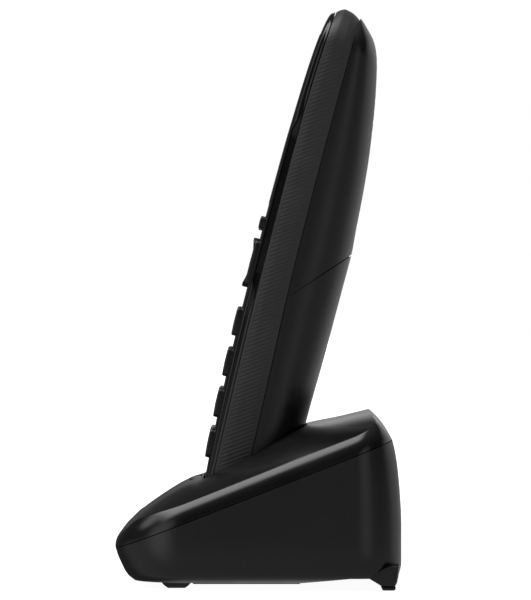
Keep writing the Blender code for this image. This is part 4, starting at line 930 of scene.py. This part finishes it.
def top_solid(inset, offset, floor, ring=BASE_PLAIN, turns=(0.3, 0.55, 0.78, 1.0), inward=(0.93, 0.82, 0.68, 0.52, 0.35, 0.17, 0.0)):
    rim = []
    for entry in ring:
        z = 25.0
        for _ in range(6):
            x, y = base_point(entry, z, inset)
            z = seam_z(y - BASE_Y0)
        rim.append((x, y, z))
    crease = []
    for (x, y, z), (_, _, nx, ny) in zip(rim, ring):
        pull = EDGE_IN_SIDE * nx * nx + EDGE_IN_REAR * max(0.0, ny) ** 2 + EDGE_IN_FRONT * max(0.0, -ny) ** 2
        crease.append((x - nx * pull, y - ny * pull))
    width = half_width_at([p for p, (_, _, nx, ny) in zip(crease, ring) if abs(ny) < 1e-6])
    rings = [[(x, y, floor) for x, y, z in rim], [(x, y, z - offset * 0.5) for x, y, z in rim]]
    turn = math.radians(48)
    for share in turns:
        row = []
        for (x, y, z), (cx, cy), (_, _, nx, ny) in zip(rim, crease, ring):
            z -= offset * 0.5
            lean_back = 0.6 * max(0.0, ny) ** 2
            across = lean_back * share + (1 - lean_back) * (1 - math.cos(share * turn)) / (1 - math.cos(turn))
            high = top_surface(cx, cy, width) - offset
            row.append((x + (cx - x) * across, y + (cy - y) * across, z + (high - z) * math.sin(share * turn) / math.sin(turn)))
        rings.append(row)
    for k in inward:
        rings.append([(cx * k, 2.0 + (cy - 2.0) * k, top_surface(cx * k, 2.0 + (cy - 2.0) * k, width) - offset) for cx, cy in crease])
    return loft(rings, cap_first=True)


case_levels = (2.1, 2.2, 2.4, 2.7, 3.1, 3.6, 4.2, 5.0, 6.0, 7.2, 8.6, 10, 12, 14, 17, 20, 24, 28, 32, 36, 39, 42, 44, 47, 53)
case_hollow_levels = (4.1, 5.0, 7.0, 10.0, 16.0, 24.0, 32.0, 39.0, 44.0, 47.0, 57.0)
relief = [(59.0, -5.0), (59.0, 2.1), (74.0, 3.7), (96.0, 3.7), (96.0, -5.0)]
case_tools = [
    ("-", loft([[(*base_point(e, z, BASE_WALL), z) for e in BASE_PLAIN] for z in case_hollow_levels], cap_first=True, cap_last=True)),
    ("-", seam_tool(-SEAM / 2, True)),
    ("+", box_mesh((-36, 25.5 + BASE_Y0, 1.3), (36, 58.8 + BASE_Y0, 3.6), 0.3)),
    ("-", loft([[(x, d + BASE_Y0, z) for d, z in relief] for x in (-70, 70)], cap_first=True, cap_last=True)),
]
for lx in (-LEG_X, LEG_X):
    leg = [(84.0, 1.2), (88.0, 1.2), (88.6, 2.4), (89.0, 4.2), (89.3, 8.0), (87.0, 8.0), (78.0, 4.6), (80.4, 3.4), (82.4, 2.2)]
    out = 1 if lx > 0 else -1
    stack = [(-7.0, 0.78), (-6.8, 0.9), (-6.2, 0.97), (-5.2, 1.0), (6.0, 1.0), (7.2, 0.97), (7.9, 0.9), (8.2, 0.78)]
    rows = [[(lx + out * dx, 86.3 + (d - 86.3) * k + BASE_Y0, 5.6 + (z - 5.6) * k) for d, z in leg] for dx, k in stack]
    case_tools.append(("+", loft(rows, cap_first=True, cap_last=True)))
case_tools.append(("-", box_mesh((-22.3, 38, 8.9), (-9.7, 60, 19.1), posts=0.6, post_axis=1)))
case_tools.append(("-", cylinder_mesh(5.3, 22, "Y", (16, 52, 14.0), 64)))
for sx in (-BASE_SCREW_X, BASE_SCREW_X):
    case_tools.append(("+", cylinder_mesh(4.4, 5.1, "Z", (sx, BASE_SCREW_Y, 5.85), 40)))
    case_tools.append(("-", cylinder_mesh(3.2, 12, "Z", (sx, BASE_SCREW_Y, -0.5), 40)))
    case_tools.append(("-", cylinder_mesh(1.5, 30, "Z", (sx, BASE_SCREW_Y, 10), 24)))
piece(
    "lower_case", loft([[(*base_point(e, z, 0.0), z) for e in BASE_FINE] for z in case_levels], cap_first=True, cap_last=True), CASE,
    "base", ["base_lower_case"], WORLD, case_tools,
)


def pocket_prism(grow, s0, s1, steps=8):
    half, front, back, mid = POCKET_HALF_W + grow, POCKET_FRONT_T - grow, POCKET_REAR_T + grow, 3.0
    pts = []
    for i in range(steps + 1):
        a = math.pi / 2 * i / steps
        pts.append((half * math.cos(a) ** (2 / 3.0), mid + (back - mid) * math.sin(a) ** (2 / 3.0)))
    pts += [(-x, t) for x, t in pts[-2::-1]]
    r = 3.0 + grow
    corner = [(-half, front + r), (-half + r * 0.3, front + r * 0.3), (-half + r, front)] if steps < 12 else [
        (-half + r * (1 - math.cos(math.pi / 2 * i / 8)), front + r * (1 - math.sin(math.pi / 2 * i / 8))) for i in range(9)]
    pts += corner + [(-x, t) for x, t in corner[::-1]]
    return loft([[(x, t, s) for x, t in pts] for s in (s0, s1)], cap_first=True, cap_last=True)


def limit():
    return temporary(top_solid(0.4, 0.7, -5.0))


well = temporary(pocket_prism(1.7, POCKET_FLOOR_S - 1.6, 60), HS)
carve(well, [("&", limit())])
deep_well = temporary(pocket_prism(1.5, REAR_FLOOR_S - 1.6, POCKET_FLOOR_S - 0.7), HS)
carve(deep_well, [("&", box_mesh((-60, REAR_FLOOR_T - 1.45, -40), (60, 60, 30)), HS), ("&", limit())])
deep_void = temporary(pocket_prism(-0.2, REAR_FLOOR_S, POCKET_FLOOR_S + 0.6), HS)
carve(deep_void, [("&", box_mesh((-60, REAR_FLOOR_T, -40), (60, 60, 30)), HS)])
top_tools = [("-", seam_tool(SEAM / 2, False)), ("-", top_solid(BASE_WALL, BASE_WALL, -5.0)), ("+", well), ("+", deep_well)]
for sx in (-BASE_SCREW_X, BASE_SCREW_X):
    post = temporary(cylinder_mesh(3.2, 50, "Z", (sx, BASE_SCREW_Y, 33.8), 24))
    carve(post, [("&", limit())])
    top_tools += [("+", post), ("-", cylinder_mesh(1.45, 14, "Z", (sx, BASE_SCREW_Y, 9.5), 20))]
top_tools.append(("-", pocket_prism(0.0, POCKET_FLOOR_S, 90, 40), HS))
top_tools.append(("-", deep_void))
for cx in (-CONTACT_X, CONTACT_X):
    top_tools.append(("-", box_mesh((cx - 1.7, CONTACT_T - 2.0, -12), (cx + 1.7, CONTACT_T + 2.0, -3), posts=0.5), HS))


def stadium(half_w, half_h, arc=14):
    pts = []
    for sign in (1, -1):
        for i in range(arc + 1):
            a = -math.pi / 2 + math.pi * i / arc
            pts.append((sign * (half_w - half_h + half_h * math.cos(a)), sign * half_h * math.sin(a)))
    return pts


def stadium_stack(levels, arc=14, close=False):
    rings = []
    for z, w, h, t, slope in levels:
        rings.append([(x, t + y, z + slope * (y + t - BUTTON_T)) for x, y in stadium(w, h, arc)])
    if close:
        z, w, h, t, slope = levels[-1]
        rings.append([(x * 0.5, t + y * 0.5, z + slope * y * 0.5 + 0.05) for x, y in stadium(w, h, arc)])
        rings.append([(x * 0.02, t + y * 0.02, z + 0.06) for x, y in stadium(w, h, arc)])
    return loft(rings, cap_first=True, cap_last=True)


BW, BH, BT = BUTTON_W / 2, BUTTON_H / 2, BUTTON_T
top_tools.append(("-", stadium_stack(((-10.0, BW + 0.3, BH + 0.3, BT, 0), (12.0, BW + 0.3, BH + 0.3, BT, 0))), HS))
top_tools.append(("-", stadium_stack(((-9.0, BW + 1.3, BH + 0.42, BT, 0), (BUTTON_S - 3.2, BW + 1.3, BH + 0.42, BT, 0))), HS))
fine_turns = tuple(i / 16 for i in range(1, 17))
fine_inward = (0.985, 0.965, 0.94, 0.91, 0.875, 0.835, 0.79, 0.74, 0.68, 0.62, 0.55, 0.48, 0.4, 0.32, 0.24, 0.16, 0.08, 0.0)
piece("top_cover", top_solid(0.0, 0.0, 5.0, BASE_FINE, fine_turns, fine_inward), GLOSS, "base", ["base_top_cover"], WORLD, top_tools)

button_levels = [
    (-15.6, 2.4, 0.7, BT - 0.75, 0), (BUTTON_S - 4.4, 2.6, 0.7, BT - 0.75, 0), (BUTTON_S - 4.4, BW + 0.9, BH, BT, 0),
    (BUTTON_S - 3.5, BW + 0.9, BH, BT, 0), (BUTTON_S - 3.5, BW, BH, BT, 0), (BUTTON_S - 0.35, BW, BH, BT, BUTTON_SLOPE),
    (BUTTON_S - 0.18, BW - 0.04, BH - 0.04, BT, BUTTON_SLOPE), (BUTTON_S - 0.02, BW - 0.14, BH - 0.14, BT, BUTTON_SLOPE),
    (BUTTON_S + 0.07, BW - 0.28, BH - 0.28, BT, BUTTON_SLOPE), (BUTTON_S + 0.1, BW - 0.45, BH - 0.45, BT, BUTTON_SLOPE),
]
piece("page_cap", stadium_stack(button_levels, 14, True), KEYS, "page_button", ["page_button"], HS)

# ------------------------------------------------------------- floor, light
floor_mesh = bpy.data.meshes.new("floor")
floor_mesh.from_pydata([(-8, -8, 0), (8, -8, 0), (8, 8, 0), (-8, 8, 0)], [], [(0, 1, 2, 3)])
floor = bpy.data.objects.new("floor", floor_mesh)
floor.location = (0, 0, -0.0001)
scene.collection.objects.link(floor)
mat, tree, shader, coords = start("floor_white")
shade = noise(tree, coords, 6.0, 2.0)
link(tree, mix_colour(tree, shade, (0.49, 0.49, 0.49), (0.51, 0.51, 0.51)), shader.inputs["Base Color"])
shader.inputs["Roughness"].default_value = 1.0
shader.inputs["Specular IOR Level"].default_value = 0.0
shader.inputs["Emission Color"].default_value = (1.0, 1.0, 1.0, 1.0)
shader.inputs["Emission Strength"].default_value = 0.95
floor_mesh.materials.append(mat)
floor.visible_glossy = False
floor.visible_diffuse = False


world = bpy.data.worlds.new("studio")
scene.world = world
world.use_nodes = True
wt = world.node_tree
wt.nodes.clear()
direction = wt.nodes.new("ShaderNodeTexCoord").outputs["Generated"]
dx, dy, dz = separate(wt, direction)


def ramp(tree, value, stops):
    made = tree.nodes.new("ShaderNodeValToRGB")
    points = made.color_ramp.elements
    while len(points) > 1:
        points.remove(points[-1])
    points[0].position, points[0].color = stops[0][0], (stops[0][1],) * 3 + (1,)
    for pos, v in stops[1:]:
        new = points.new(pos)
        new.color = (v,) * 3 + (1,)
    link(tree, value, made.inputs[0])
    return made.outputs[0]


def glow(d, inner_deg, outer_deg, value):
    """A soft round light in the sky towards d."""
    made = wt.nodes.new("ShaderNodeVectorMath")
    made.operation = "DOT_PRODUCT"
    made.inputs[1].default_value = Vector(d).normalized()
    link(wt, direction, made.inputs[0])
    out = wt.nodes.new("ShaderNodeMapRange")
    out.interpolation_type = "SMOOTHSTEP"
    for key, v in (("From Min", math.cos(math.radians(outer_deg))), ("From Max", math.cos(math.radians(inner_deg))), ("To Min", 0.0), ("To Max", value)):
        out.inputs[key].default_value = v
    link(wt, made.outputs["Value"], out.inputs["Value"])
    return out.outputs["Result"]




def between(value, a, b):
    """0 at a, 1 at b, smooth between, whichever is larger."""
    made = wt.nodes.new("ShaderNodeMapRange")
    made.interpolation_type = "SMOOTHSTEP"
    for key, v in (("From Min", a), ("From Max", b), ("To Min", 0.0), ("To Max", 1.0)):
        made.inputs[key].default_value = v
    link(wt, value, made.inputs["Value"])
    return made.outputs["Result"]


up = maths(wt, "ADD", maths(wt, "MULTIPLY", dz, 0.5), 0.5)
far = ramp(wt, up, ((0.0, 0.45), (0.485, 0.50), (0.505, 0.28), (0.57, 0.70), (0.73, 0.70), (0.79, 0.12), (0.90, 0.10), (1.0, 0.30)))
far = mix_colour(wt, between(dy, -0.14, 0.02), (0.05, 0.05, 0.05), far)
near = ramp(wt, up, ((0.0, 0.35), (0.485, 0.35), (0.505, 0.03), (0.70, 0.045), (0.87, 0.12), (1.0, 0.30)))
sky = mix_colour(wt, between(dx, -0.22, -0.62), near, far)
# a long softbox overhead, a little to the front of the phone
softbox = maths(wt, "MULTIPLY", between(dx, 0.60, 0.34), between(dx, -0.34, -0.14))
softbox = maths(wt, "MULTIPLY", softbox, between(maths(wt, "ABSOLUTE", maths(wt, "ADD", dy, 0.37), 0), 0.50, 0.20))
softbox = maths(wt, "MULTIPLY", softbox, between(dz, 0.30, 0.50))
lights = maths(wt, "MULTIPLY", softbox, 4.4)
lights = maths(wt, "ADD", lights, glow((0.64, -0.77, 0.10), 8, 26, 0.80))
lights = maths(wt, "ADD", lights, glow((0.87, 0.5, 0.10), 8, 20, 0.45))
lights = maths(wt, "ADD", lights, glow((-0.35, 0.93, 0.10), 5, 16, 0.30))
lights = maths(wt, "ADD", lights, glow((0.02, -0.90, 0.46), 6, 14, 1.6))
total = wt.nodes.new("ShaderNodeMix")
total.data_type = "RGBA"
total.blend_type = "ADD"
total.inputs[0].default_value = 1.0
link(wt, sky, total.inputs[6])
link(wt, lights, total.inputs[7])
background = wt.nodes.new("ShaderNodeBackground")
link(wt, total.outputs[2], background.inputs["Color"])
plain = wt.nodes.new("ShaderNodeBackground")
plain.inputs["Color"].default_value = (1, 1, 1, 1)
path = wt.nodes.new("ShaderNodeLightPath")
choose = wt.nodes.new("ShaderNodeMixShader")
link(wt, path.outputs["Is Camera Ray"], choose.inputs[0])
link(wt, background.outputs[0], choose.inputs[1])
link(wt, plain.outputs[0], choose.inputs[2])
out = wt.nodes.new("ShaderNodeOutputWorld")
link(wt, choose.outputs[0], out.inputs["Surface"])

scene.view_settings.view_transform = "Standard"
scene.view_settings.look = "None"
